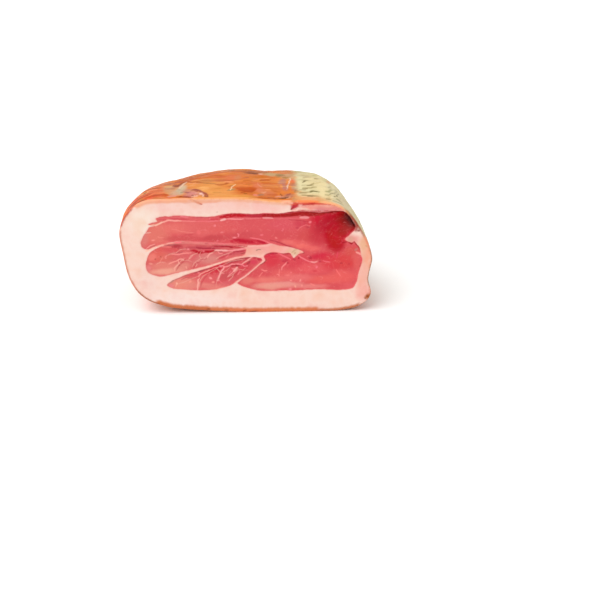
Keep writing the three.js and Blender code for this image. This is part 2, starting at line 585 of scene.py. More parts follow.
LEAN_BASES: dict[Lean, str] = {Lean.MAIN: "#E05C61", Lean.MIDDLE: "#DF6A6A", Lean.LOWER: "#DD5F63"}

LEAN_MARKS: dict[Lean, tuple[Patch | Stroke, ...]] = {
    Lean.MAIN: marks(
        # Broad areas, from salmon at the left to crimson beside the pocket.
        ("#EA7F72", 0.9, (-84.5, 82.3), (12.7, 12.9)),
        ("#EE7B72", 0.8, (-64.6, 87), (13.7, 6)),
        ("#E8706E", 0.8, (-42.9, 86.7), (15.7, 8)),
        ("#E76867", 0.8, (-22.2, 86.4), (19.6, 7)),
        ("#E26064", 0.8, (4.2, 88.1), (17.6, 8)),
        ("#E4606A", 0.7, (35.3, 88.6), (12.7, 6)),
        ("#DE5A5E", 0.7, (36.2, 77.6), (11.8, 6)),
        ("#D4545A", 0.6, (-5.4, 78.2), (15.7, 4)),
        ("#E48A80", 0.7, (-97, 75.5), (4.9, 8)),
        ("#D45C5C", 0.6, (-62.1, 76), (15.7, 2.4)),
        ("#CC5054", 0.7, (-30.9, 76.1), (12.7, 2.6)),
        ("#D44858", 0.7, (52.3, 89.4), (5.9, 3)),
        ("#DA5656", 0.75, (57.1, 77.4), (8.8, 6)),
        ("#EE6A68", 0.7, (49.5, 70.4), (11.8, 3), -10),
        ("#F87870", 0.85, (52.4, 67.4), (6.9, 2.2), -8),
        ("#F2706C", 0.8, (61.9, 64.7), (7.8, 2.6), -6),
        ("#F47A74", 0.7, (40, 71.6), (5.9, 2.4), -14),
        ("#CF2C3E", 0.95, (76, 91.1), (15.7, 10), 10),
        ("#CC3A46", 0.8, (71.3, 77.2), (10.8, 9)),
        ("#D0283C", 0.8, (70.3, 94.1), (7.8, 3.4)),
        ("#C4202F", 0.9, (85.6, 77), (7.8, 13), 18),
        ("#BE202E", 0.85, (86.6, 66.9), (5.9, 7.1)),
        ("#DE4450", 0.9, (24.7, 53.6), (8.8, 7.1)),
        ("#DC3C50", 0.8, (22.8, 57.7), (5.9, 2.6)),
        ("#E04C58", 0.8, (48.6, 51.2), (13.7, 6.1)),
        ("#D83048", 0.85, (72.4, 56), (12.7, 3.5)),
        ("#E0464E", 0.85, (83, 49.7), (11.8, 7.1)),
        ("#EE6468", 0.8, (61, 43.9), (13.7, 5.1)),
        ("#E04C4C", 0.8, (95.4, 50.6), (10.8, 8.1)),
        ("#DC5A52", 0.7, (101, 60.6), (6.9, 4.1)),
        ("#E86A66", 0.7, (106, 50.4), (3.9, 10.2), 6),
        ("#F26A66", 0.8, (91.8, 35.3), (13.7, 6.2)),
        ("#F06C66", 0.8, (72.6, 32.5), (13.7, 4.1)),
        ("#EC6C6A", 0.8, (36.1, 39.2), (10.8, 4.1)),
        ("#F07C7A", 0.8, (48.6, 34.9), (13.7, 3.7)),
        ("#F2847A", 0.85, (20.7, 33.3), (15.7, 3.5)),
        ("#F2A096", 0.85, (34.1, 27.9), (21.6, 2.9)),
        ("#F0A292", 0.9, (20.7, 26.1), (13.7, 2.9)),
        ("#F08C86", 0.8, (63, 25.9), (13.7, 2.3)),
        ("#EE8C7E", 0.7, (0.6, 32.5), (5.9, 4.1)),
        ("#EC6A6E", 0.6, (99.6, 24.9), (7.8, 4.1)),
        # The left end, and the darker band under the top edge: a darker strip of muscle, deepened with
        # painted shade where the fat's edge stands over it.
        ("#F6B0A4", 0.59, 0.85, (-97.1, 81.7), (-89.4, 82.6)),
        ("#FFA49C", 0.49, 0.85, (-94.3, 66.8), (-91.3, 68.8), (-86, 71)),
        ("#BC6E66", 0.49, 0.7, (-92.7, 65.9), (-89.5, 68.1), (-85.5, 69.8)),
        ("#D8949A", 0.79, 0.85, (-91.2, 91.7), (-88, 93), (-84.4, 93.3)),
        ("#E66A6C", 1.28, 0.9, (-83.6, 96.3), (-77.9, 96.1), (-62.5, 97.4), (-33.9, 95.3), (-25.8, 95.2)),
        ("#B86468", 0.49, 0.7, (-83.3, 97.4), (-76.8, 98.6)),
        ("#D85A62", 0.49, 0.8, (-83.1, 95.5), (-74.1, 95.6)),
        ("#D4525E", 0.54, 0.8, (-72.1, 95.7), (-64.5, 96.1), (-53, 95.3)),
        ("#FF8E98", 0.45, 0.8, (-61.1, 98.1), (-53.9, 97.3)),
        ("#C85460", 0.45, 0.7, (-50.1, 97), (-41.5, 96.6), (-32.9, 96.8)),
        ("#DA4652", 0.79, 0.85, (-34.8, 94.9), (-25.8, 95.1)),
        ("#FF8A94", 0.59, 0.8, (-34.3, 95.7), (-32.9, 95.5)),
        ("#C41E30", 1.58, 0.95, (-24, 97), (-8, 99), (2, 98)),
        ("#BE3240", 1.48, 0.9, (0.4, 98.2), (17.6, 97.7)),
        ("#AE1828", 1.68, 0.95, (16, 98), (43, 98)),
        ("#A8141E", 1.88, 0.95, (37, 98), (47, 99), (57, 99), (68, 98)),
        ("#9E1626", 0.44, 0.8, (-21.3, 99.4), (-8.8, 100.5), (20.9, 99.4), (34.1, 100)),
        ("#90121C", 0.59, 0.85, (33.5, 99.8), (46.7, 101.9), (68.4, 99.9)),
        ("#E45C68", 0.49, 0.7, (-33.9, 95.4), (-26, 95.9)),
        ("#A81A24", 1.29, 0.9, (60.8, 98.7), (74.7, 98.8)),
        ("#8A1018", 0.89, 0.9, (60.8, 100.9), (74.7, 100), (86.9, 101.7), (97, 100.8)),
        ("#941420", 1.39, 0.85, (78.5, 99.6), (86.9, 99.9), (92.8, 99.4)),
        # The pale seam below that band.
        ("#FFC4AE", 0.78, 0.9, (-90.8, 89.4), (-84.8, 89.8), (-76, 93.7)),
        ("#FFAEA2", 0.74, 0.9, (-78, 92.6), (-72.2, 94.5), (-59.8, 93.7)),
        ("#FC8E8C", 0.59, 0.85, (-60.7, 93.7), (-45.9, 93.1)),
        ("#F87C80", 0.55, 0.8, (-46.9, 93.1), (-25.9, 93.1)),
        ("#F47C84", 0.5, 0.8, (-35.3, 93.1), (-24, 93.3)),
        ("#FFB8B4", 0.94, 0.95, (-23.9, 93.5), (-18.4, 95.1)),
        ("#FF9EA0", 0.64, 0.85, (-18.1, 95.2), (-1.6, 94.9)),
        ("#F07E84", 0.45, 0.75, (-2.2, 94.9), (14.9, 95.6)),
        ("#FFAEB0", 0.89, 0.57, (16.3, 95.6), (21.5, 95.7), (26.2, 95.2)),
        ("#EC7880", 0.45, 0.48, (25.5, 95.1), (37.4, 94.6), (51.3, 95)),
        ("#FFB0B0", 1.09, 0.57, (51, 95.3), (55.3, 95.7), (59.9, 95.3)),
        ("#C23C4C", 0.45, 0.7, (40.7, 93.8), (59.9, 91.8)),
        # Threads and flecks of fat in the upper part.
        ("#F5867E", 0.5, 0.75, (-70.1, 86), (-65.8, 85.2), (-60.6, 83.2), (-49.3, 81.8)),
        ("#CE5256", 0.5, 0.65, (-58.5, 80), (-53.5, 79.6), (-49.4, 80.3)),
        ("#FA9086", 0.5, 0.7, (-83.3, 78.4), (-81.4, 77.2), (-77.6, 77.5)),
        ("#FF9C92", 0.85, (-87.3, 75.3), (1.5, 0.9), 20),
        ("#F27474", 0.8, (-44.5, 82.1), (2, 1.6)),
        ("#FF9296", 0.8, (-29.2, 88.6), (1.1, 1)),
        ("#F07A7A", 0.6, (-37.5, 84.7), (1.4, 0.8)),
        ("#F07478", 0.5, 0.7, (48.8, 82.7), (50.6, 85.1), (53.3, 87), (57.3, 88.2), (60.6, 87.4)),
        ("#FF8C96", 0.57, 0.8, (-7.9, 80.4), (-6.6, 79.2), (-7, 77.1)),
        ("#FF9096", 0.9, (-10.5, 76.1), (1.3, 0.9)),
        ("#F87C84", 0.8, (15.4, 78.1), (1.3, 1.1)),
        ("#FF8C8A", 0.8, (29.4, 75.6), (1, 0.9)),
        ("#FF8890", 0.8, (60.7, 90.9), (1.2, 1)),
        ("#F68088", 0.7, (35.7, 84.7), (0.8, 0.8)),
        ("#F68088", 0.7, (34.7, 83.1), (0.9, 0.6)),
        ("#F47A7C", 0.7, (1.5, 82.4), (0.9, 0.8)),
        ("#F88A8C", 0.7, (-22, 81), (1.5, 0.6)),
        ("#F88088", 0.7, (-27.4, 73.8), (1, 0.7)),
        ("#CC4656", 0.7, (49.3, 85.5), (1.6, 0.9)),
        ("#C44854", 0.7, (58.6, 85.6), (2.5, 0.9)),
        # The dark edge above the middle fat, and the threads in the lower part.
        ("#D23848", 2.61, 0.85, (-14, 73), (-4, 73), (5, 72), (15, 72), (21, 70)),
        ("#C4283A", 1.5, 0.8, (-12, 75), (-4, 73), (4, 72), (9, 72)),
        ("#C62C3E", 1, 0.85, (10.7, 73.6), (14.7, 71.5), (20.7, 69.7)),
        ("#E4525E", 0.5, 0.7, (6.7, 72.6), (10, 71.6), (10.7, 70.5)),
        ("#FA7C84", 0.6, 0.85, (4.1, 75.8), (11.4, 75.1), (17.4, 72.9), (22, 70.6), (26, 69.3)),
        ("#B83A48", 0.5, 0.85, (22.7, 73.5), (28, 72.2), (47.3, 64.7), (52.7, 63)),
        ("#E85864", 0.5, 0.7, (-35.8, 71.5), (-22.5, 71), (-9.3, 69.9)),
        ("#B82840", 0.61, 0.75, (18.3, 59.4), (23.7, 60.3), (30.8, 60.2)),
        ("#B42C3C", 0.61, 0.85, (33.3, 60), (37.9, 59.5), (42.3, 59.7), (43.4, 58.2)),
        ("#FF7884", 0.6, 0.85, (30.8, 60.2), (42.8, 53.5)),
        ("#FF8E8E", 0.64, 0.9, (39.3, 51.5), (34.2, 45.6), (34.1, 43)),
        ("#FF928E", 0.54, 0.85, (29.5, 39), (30.6, 38.5), (31.9, 36.6)),
        ("#F8827E", 0.43, 0.7, (32, 44.3), (31.5, 37)),
        ("#FF8E8A", 0.61, 0.85, (14.2, 43.8), (17.6, 42.3), (20.1, 42.9)),
        ("#FA8A84", 0.49, 0.75, (15.8, 41.1), (12, 36.4)),
        ("#FF868E", 0.6, 0.85, (49.7, 58.1), (52.4, 55.6), (59.8, 51.5), (63.7, 50.7)),
        ("#FFA4A4", 0.71, 0.85, (61.5, 50.9), (64.8, 50.5), (68, 51.3)),
        ("#FA7684", 0.51, 0.75, (73.4, 51.9), (80.4, 50.4)),
        ("#EC5064", 0.48, 0.8, (87.4, 60.8), (86.3, 54)),
        ("#FF7C7A", 0.53, 0.85, (85.8, 43.3), (90.2, 36.1)),
        ("#FF908A", 0.51, 0.7, (61.6, 28.9), (63.8, 27.4), (66.5, 27.1)),
        ("#FF8088", 0.45, 0.7, (57.9, 56.2), (60.1, 56.8), (61.5, 55.3)),
        # Flecks of fat and dark spots in the lower part.
        ("#FF8290", 0.8, (67.5, 45.7), (1, 0.9)),
        ("#FFA09A", 0.8, (41.8, 32.3), (1.1, 0.8)),
        ("#FFA49E", 0.75, (52.2, 31.7), (0.7, 1.1)),
        ("#FFA09A", 0.7, (53.4, 27.4), (0.8, 1.1)),
        ("#FFB4A0", 0.75, (47.2, 26.2), (0.9, 0.9)),
        ("#FF949A", 0.8, (41.7, 23.9), (1.8, 0.9)),
        ("#FF8C92", 0.7, (42.9, 40.4), (0.8, 0.6)),
        ("#FA8A84", 0.6, (39.8, 37.8), (1.3, 0.7)),
        ("#F6908A", 0.6, (15.2, 27.4), (1.6, 0.7)),
        ("#B83848", 0.75, (46.1, 54), (1.3, 1)),
        ("#A82434", 0.85, (50.8, 55.2), (0.9, 0.8)),
        ("#B42A3E", 0.75, (60.9, 55.3), (2, 1.5)),
        ("#A82434", 0.8, (39.5, 50.3), (0.9, 0.6)),
        ("#B03840", 0.8, (55, 60.2), (1, 1)),
        ("#C4384C", 0.7, (70.2, 51.1), (1.4, 1.2)),
        ("#D8444E", 0.6, (65.9, 42), (2.4, 1.2)),
        ("#C4344A", 0.65, (36.8, 52.5), (2.9, 1.6)),
        ("#C83C44", 0.6, (90.6, 49.3), (1.3, 0.9)),
        # Brown and dark red edges where the lean meets the fat.
        ("#A84844", 0.71, 0.75, (17.5, 58.9), (20.4, 60.4), (24.3, 60.9)),
        ("#9C4844", 0.55, 0.75, (19.6, 53.7), (17.9, 51.7), (13.5, 48.6)),
        ("#A83830", 0.76, 0.8, (106.8, 66.8), (108.4, 64.2), (109.3, 61.1)),
        ("#CC8078", 1.11, 0.7, (103.4, 62.1), (106.6, 64)),
        ("#FFA49C", 0.89, 0.9, (104.9, 60.4), (110.5, 57.5)),
        ("#E4485A", 0.57, 0.8, (109.4, 55.5), (110.8, 53.3), (110.1, 50.3)),
        ("#B04444", 0.44, 0.7, (109.9, 49.4), (108.8, 45)),
        ("#B83038", 0.7, (90.5, 49), (1.2, 0.7)),
        ("#B0303C", 0.6, (93.8, 64.1), (0.7, 0.7)),
        ("#C84048", 0.6, (97.8, 48), (0.8, 1.1)),
        ("#DA3E54", 0.54, 0.7, (74.8, 86.8), (79.9, 86.6), (84.5, 87.2), (95.6, 80.9)),
        ("#EE4C60", 0.65, 0.85, (81.9, 76.6), (83.8, 75), (87.4, 76.3)),
        ("#F4666E", 0.71, 0.85, (93.8, 73.3), (97.2, 74.1)),
        ("#EC5464", 0.59, 0.75, (90.4, 69.3), (92.1, 71.6)),
        ("#A81C2A", 0.71, 0.7, (90.2, 70.9), (93.2, 70), (97.4, 71.3)),
        ("#A01824", 0.89, 0.85, (97.8, 70.6), (100.4, 68.8), (102.7, 71.9), (108.6, 65)),
        ("#84101A", 0.9, 0.8, (97.3, 77.1), (100.3, 78.9), (103.6, 81.9)),
        ("#E4506A", 0.8, (75.7, 87.1), (1.1, 1)),
        # The pocket that the bone left goes from crimson to nearly black: its meat is darker and drier, and
        # the dark that deepens towards its steep right wall is painted shade.
        ("#CC2C3C", 0.8, (84, 88.6), (13, 13), 10),
        ("#D0283A", 0.85, (90, 88), (11, 13), 14),
        ("#BC1C2C", 0.85, (95, 90), (8.6, 12), 24),
        ("#92121E", 0.9, (98.6, 92), (6.4, 10), 30),
        ("#560810", 0.9, (100.4, 92.6), (4.4, 8), 32),
        ("#3A0608", 0.95, (101.6, 91.4), (2.4, 5.4), 32),
        ("#8C101A", 1.4, 0.85, (72, 100.6), (82, 101.2), (92, 100.8), (96, 98.6)),
        ("#BE1C2C", 0.8, (81.6, 72), (6, 10)),
        ("#A81824", 0.7, (92, 79.4), (5, 4), 30),
    ),
    Lean.MIDDLE: marks(
        # Broad areas.
        ("#E86C62", 0.9, (-85.3, 59.2), (9.8, 6.1)),
        ("#F4857A", 0.9, (-89.1, 58.3), (3.9, 3.4)),
        ("#E27468", 0.7, (-75.9, 57.1), (7.8, 4)),
        ("#EC8D7E", 0.8, (-80, 49), (11.8, 4.1), 4),
        ("#F6AE98", 0.9, (-76.4, 43.4), (15.7, 3.1), 4),
        ("#EA9486", 0.8, (-61.1, 47.7), (8.8, 3.5), 12),
        ("#E05C5E", 0.85, (-70, 65.1), (8.8, 2.4), 3),
        ("#E4625E", 0.8, (-82.3, 65.2), (3.9, 1.8)),
        ("#B83A44", 0.85, (-65.1, 68.4), (4.9, 1.6), 2),
        ("#C8505A", 0.85, (-38.7, 67.2), (21.6, 1.8)),
        ("#E28884", 0.6, (-39, 56.5), (12.7, 4.4), 12),
        ("#E2948A", 0.6, (-31.4, 54.8), (8.8, 3.4), 14),
        ("#E0696C", 0.7, (-53.2, 57.8), (5.9, 3.6)),
        ("#D45A64", 0.8, (-13.3, 60.6), (12.7, 2.2), 10),
        ("#E0505E", 0.75, (-22.8, 56.3), (3.3, 1.8)),
        ("#F08C8C", 0.75, (-92.8, 47.2), (2, 3)),
        # Dark edges and threads of fat.
        ("#B05A5C", 0.55, 0.8, (-78.7, 69.2), (-65.2, 70.1)),
        ("#F8867E", 0.45, 0.7, (-79.6, 68.3), (-70.3, 67.6)),
        ("#B42C3C", 1.01, 0.85, (-31.3, 68.4), (-17.3, 67.9), (-10.5, 68.1)),
        ("#C02238", 1.31, 0.95, (-16.3, 67.6), (0.4, 67.7)),
        ("#A42432", 0.7, 0.7, (-24, 68.7), (-18.2, 68.7), (-12.5, 66.1)),
        ("#B03444", 0.81, 0.8, (-47.2, 67.3), (-41, 65.9), (-29.4, 66)),
        ("#C4283A", 0.91, 0.85, (-52.7, 64), (-48.9, 64), (-44.7, 63.3)),
        ("#C01C32", 1.31, 0.95, (-50.2, 63.4), (-44.5, 62), (-31.4, 63.1), (-28, 62.9)),
        ("#F0606C", 0.5, 0.7, (-42.5, 64.4), (-31.3, 65)),
        ("#FFB8B2", 0.86, 0.95, (-29.7, 64), (-16.4, 63.5)),
        ("#FF9EA0", 0.76, 0.9, (-17.3, 63.5), (-12.5, 63.6), (0.6, 65.5)),
        ("#C04452", 0.71, 0.8, (-26.6, 62.4), (-22.2, 62.6)),
        ("#BC3C4A", 0.81, 0.85, (-12, 62), (-5.7, 62.8), (0.3, 63)),
        ("#A84A48", 0.5, 0.8, (-5.3, 59.9), (-0.2, 61.3)),
        ("#FF9892", 0.6, 0.85, (-70.5, 60.8), (-62.9, 60.1), (-59.5, 61.2), (-51.7, 61.7)),
        ("#BC5A60", 0.5, 0.75, (-65.4, 62.4), (-62.5, 62.2), (-59.5, 62.7)),
        ("#FFA296", 0.6, 0.9, (-74, 50.5), (-70.4, 52.4), (-66.5, 53.7), (-64.2, 55.1)),
        ("#FFA89C", 0.61, 0.9, (-65.2, 54.6), (-62.7, 55.7), (-60.5, 55.4), (-59.1, 54.2)),
        ("#FFAC9E", 0.57, 0.9, (-64.2, 55.1), (-64.6, 53), (-63.3, 51.1), (-68.5, 46.6), (-68.3, 43.3)),
        ("#F89088", 0.71, 0.8, (-75.5, 59.7), (-76.6, 57.7), (-75.8, 55.8)),
        ("#F49280", 0.48, 0.65, (-78.9, 57.5), (-81.6, 53.7), (-82.4, 50.8)),
        ("#FFAA9C", 0.53, 0.8, (-57.7, 48.4), (-56.5, 45.4)),
        ("#F49E96", 0.54, 0.7, (-50.1, 59.3), (-54.3, 55.5)),
        ("#F6A8A0", 0.55, 0.75, (-45.6, 53.1), (-41.5, 54), (-38.3, 56.5)),
        ("#FAAEA4", 0.52, 0.75, (-48.3, 47.5), (-46.8, 50.2), (-48, 52.1)),
        ("#FFA8A0", 0.64, 0.85, (-36.8, 56.4), (-35.8, 58.7), (-34.2, 60.9), (-31.3, 61.1)),
        ("#FF9C9A", 0.55, 0.8, (-26.6, 62.7), (-25.1, 60.8), (-22.2, 60.4)),
        ("#FA7C86", 0.58, 0.8, (-15.5, 61), (-19.4, 56.3)),
        # Flecks and dark spots.
        ("#B05048", 0.7, (-81.2, 58.5), (0.7, 0.7)),
        ("#B85A4C", 0.7, (-86.2, 56.2), (0.8, 0.8)),
        ("#B45850", 0.7, (-63.5, 48.9), (0.8, 0.8)),
        ("#B86858", 0.7, (-56.9, 43.5), (0.7, 0.7)),
        ("#FF9CA0", 0.8, (-54.3, 65.9), (1.2, 0.7)),
        ("#F27880", 0.7, (-40.7, 63.5), (1.2, 0.8)),
        ("#F8A896", 0.6, (-90.9, 51.6), (1.6, 0.9)),
        # Fine veins that branch, with deeper red beside them.
        ("#F6B4A4", 0.34, 0.55, (-75.2, 59), (-70.5, 61.4), (-65.7, 62.1)),
        ("#C4484E", 0.7, 0.5, (-66.6, 43.7), (-64.2, 48.7), (-60.2, 52.4), (-57.1, 54.8)),
        ("#F6B4A4", 0.4, 0.6, (-68.1, 44.9), (-65.7, 49.9), (-61.8, 53.6), (-58.6, 56.1)),
        ("#F6B4A4", 0.34, 0.55, (-61.8, 53.6), (-55.1, 54.3), (-51.5, 52.2)),
        ("#F6B4A4", 0.4, 0.6, (-55.1, 54.3), (-52.7, 58.5), (-45.6, 61.7)),
        ("#C4484E", 0.7, 0.5, (-50, 45.9), (-47.6, 50.9), (-41.7, 54.5), (-37, 55.7)),
        ("#F6B4A4", 0.34, 0.55, (-51.5, 47.1), (-49.1, 52.1), (-43.2, 55.7), (-38.5, 57)),
        ("#F6B4A4", 0.4, 0.6, (-38.5, 57), (-32.5, 61.9), (-24.2, 64.3)),
        ("#F6B4A4", 0.34, 0.55, (-43.2, 55.7), (-44.4, 59.6), (-42, 63.3)),
        ("#C4484E", 0.7, 0.5, (-27.5, 54.2), (-20.3, 57.9), (-10.8, 61.4)),
        ("#F6B4A4", 0.4, 0.6, (-29, 55.4), (-21.8, 59.1), (-12.3, 62.7)),
        ("#F6B4A4", 0.34, 0.55, (-86, 50.4), (-81.2, 52.8), (-76.5, 52.2)),
        ("#F6B4A4", 0.4, 0.6, (-66, 62.1), (-62.2, 65.1), (-56.5, 65.9)),
    ),
    Lean.LOWER: marks(
        # Broad areas.
        ("#F09684", 0.9, (-61.6, 30.4), (13.7, 6.2)),
        ("#F0917E", 0.8, (-61.6, 28.7), (5.9, 3.1)),
        ("#EC8C82", 0.8, (-39.7, 28), (19.6, 3.5)),
        ("#E66E6E", 0.7, (-36.6, 35.1), (11.8, 4.1)),
        ("#DA5A60", 0.8, (-13.6, 41.9), (15.7, 7.1), 24),
        ("#CC5C5E", 0.6, (-19.4, 37.9), (6.9, 4.1)),
        ("#E06A70", 0.7, (-17.6, 30.7), (7.8, 2.5), 30),
        ("#D83444", 0.8, (-32.6, 42.7), (8.8, 2.4), 14),
        ("#D84854", 0.7, (-1.1, 45.8), (7.8, 4.1), 30),
        ("#E04860", 0.7, (7.5, 50.8), (3.9, 2.4)),
        ("#F08C90", 0.8, (-72.7, 29.1), (2.4, 1.8)),
        ("#EC867C", 0.7, (-27.3, 25.8), (7.8, 1.9)),
        # Dark edges and threads of fat.
        ("#B49484", 0.8, 0.7, (-76.7, 29.5), (-74.9, 31.3), (-71.5, 32.8), (-68, 35.1)),
        ("#B4706C", 0.6, 0.75, (-71, 33.6), (-58.1, 39.3), (-53.3, 40.9)),
        ("#A84A50", 0.81, 0.85, (-49.9, 41.2), (-33.2, 46.6)),
        ("#F8908A", 0.61, 0.75, (-66.3, 34.1), (-61.2, 35.4), (-56, 36.1)),
        ("#C0605C", 0.46, 0.7, (-62.5, 34.5), (-57.7, 36.5), (-53.9, 36.9)),
        ("#D02C40", 1.11, 0.85, (-34.2, 45.7), (-24.4, 49.2), (-18.6, 50.4)),
        ("#C4283A", 0.91, 0.85, (-35.7, 42.6), (-29.4, 44.9), (-23.5, 45.5)),
        ("#B8404C", 1.11, 0.85, (-14.2, 51.6), (-7.8, 53.6), (-1.5, 54.8), (3.4, 56.3)),
        ("#8E3C3C", 0.51, 0.75, (-5.9, 55.4), (-1, 56.4), (3.9, 56.8)),
        ("#A8404C", 1.11, 0.7, (-18.6, 50.7), (-12.7, 52.7)),
        ("#C03044", 1.11, 0.85, (7.3, 55.7), (10.2, 56.9), (13.6, 55.8)),
        ("#C83048", 1.01, 0.8, (10.6, 54.4), (15, 54.1)),
        ("#A83C44", 0.98, 0.7, (0.4, 49.1), (2.8, 50.9), (3.8, 53.4)),
        ("#B03440", 0.71, 0.7, (-16.7, 46.5), (-13.7, 47.7), (-8.9, 48.2), (-5, 47.9)),
        ("#FFA49A", 0.65, 0.9, (-45, 36.5), (-45.2, 38.3), (-43.1, 40.5), (-33.3, 44.5)),
        ("#F88A88", 0.55, 0.8, (-33.7, 44.2), (-30.8, 46.1), (-27.6, 46.8)),
        ("#FFB4A8", 0.76, 0.9, (-44.7, 35.4), (-46.2, 33.9), (-46.1, 31.3), (-47, 22.4)),
        ("#FFACA8", 0.77, 0.95, (-20.6, 47.6), (-21.8, 44.9), (-24, 42.4), (-26.8, 34.5)),
        ("#F89090", 0.51, 0.7, (-24, 40.9), (-20.7, 40.3)),
        ("#F07880", 0.5, 0.7, (-26.7, 34.5), (-24.8, 32), (-22.8, 30.4)),
        ("#FF9C9E", 0.61, 0.9, (-24.5, 48.1), (-22.5, 48.4), (-20.6, 47), (-16.7, 47.9), (-13.5, 49.6),
            (-9.3, 49.9)),
        ("#FF949A", 0.56, 0.9, (-9.8, 49.8), (-4, 49.3), (-1.8, 51.2)),
        ("#FFA4A0", 0.69, 0.95, (-2.3, 50.9), (6.5, 57.4)),
        ("#FF8E96", 0.51, 0.75, (-3.8, 49.4), (-1.8, 47.3), (1.6, 47.8)),
        ("#FFB4AC", 0.93, 0.95, (-8.3, 46.8), (-10.2, 44.2), (-12.8, 42)),
        ("#FF9C9C", 0.54, 0.85, (-12.1, 42.5), (-15.6, 39.4), (-17.8, 36.6)),
        ("#FFA0A0", 0.56, 0.8, (-13.6, 44.8), (-10.4, 45.1)),
        ("#F07C84", 0.49, 0.7, (-14.3, 43.3), (-16.8, 40.2)),
        ("#FA868C", 0.67, 0.8, (-6.3, 44.8), (-6.5, 42.2), (-8.3, 38.8)),
        ("#FFB0A0", 0.48, 0.75, (-67, 31.9), (-66.8, 29.8), (-67.6, 27.1)),
        # Flecks and dark spots.
        ("#FFC4A8", 0.85, (-66.7, 31.3), (0.9, 1)),
        ("#FFA294", 0.8, (-54, 32.3), (1.1, 1)),
        ("#FF9CA0", 0.85, (-34.8, 36.1), (1.3, 1)),
        ("#FFA094", 0.8, (-31.8, 32.4), (1.7, 0.9)),
        ("#FFA8A4", 0.8, (-26.7, 34.5), (1.2, 0.9)),
        ("#FF9AA6", 0.8, (-23.6, 48.2), (1.2, 0.9)),
        ("#EC6470", 0.7, (-28, 38.7), (1, 0.9)),
        ("#98303A", 0.8, (-9, 48.2), (1.1, 0.7)),
        ("#FF9092", 0.7, (-44.7, 40.7), (1.2, 0.8)),
        ("#FFA09C", 0.7, (-34.5, 36.2), (1.2, 1)),
        ("#B86058", 0.6, (-52.4, 35.1), (0.9, 0.7)),
        # Fine veins that branch, with deeper red beside them.
        ("#F6B4A4", 0.34, 0.55, (-67, 29.7), (-59.8, 32.1), (-52.7, 35), (-43.2, 38.8)),
        ("#CC4A54", 0.7, 0.5, (-44.1, 25.5), (-42.8, 31.8), (-39.3, 36.7), (-35.7, 39.2)),
        ("#F6B4A4", 0.4, 0.6, (-45.6, 26.8), (-44.4, 33), (-40.9, 38), (-37.2, 40.4)),
        ("#F6B4A4", 0.34, 0.55, (-29, 28.9), (-27.7, 35.2), (-24.2, 40.2), (-18.2, 43.9), (-14.7, 47.6)),
        ("#F6B4A4", 0.4, 0.6, (-24.2, 40.2), (-26.6, 44.1), (-29, 46.1)),
        ("#CC4A54", 0.7, 0.5, (-16.7, 35), (-10.8, 38.7), (-6.1, 43.6), (-7.2, 46.2)),
        ("#F6B4A4", 0.34, 0.55, (-18.2, 36.3), (-12.3, 39.9), (-7.6, 44.9), (-8.7, 47.4)),
        ("#F6B4A4", 0.4, 0.6, (-12.3, 39.9), (-13.5, 36.2), (-17.1, 32.4)),
        ("#F6B4A4", 0.34, 0.55, (-7.6, 44.9), (-2.8, 43.6), (-0.5, 46)),
        ("#CC4A54", 0.7, 0.5, (-20.3, 47.8), (-13.2, 51.4), (-6.1, 52.5), (1, 53.6)),
        ("#F6B4A4", 0.4, 0.6, (-21.8, 49), (-14.7, 52.6), (-7.6, 53.8), (-0.5, 54.8)),
        ("#F6B4A4", 0.34, 0.55, (-37.5, 40.2), (-31.8, 43.2), (-25.2, 48.1)),
        ("#F6B4A4", 0.4, 0.6, (-4, 49.9), (-0.5, 52.3), (4.3, 53.5)),
    ),
}

FAT_BASE = "#FBDACB"

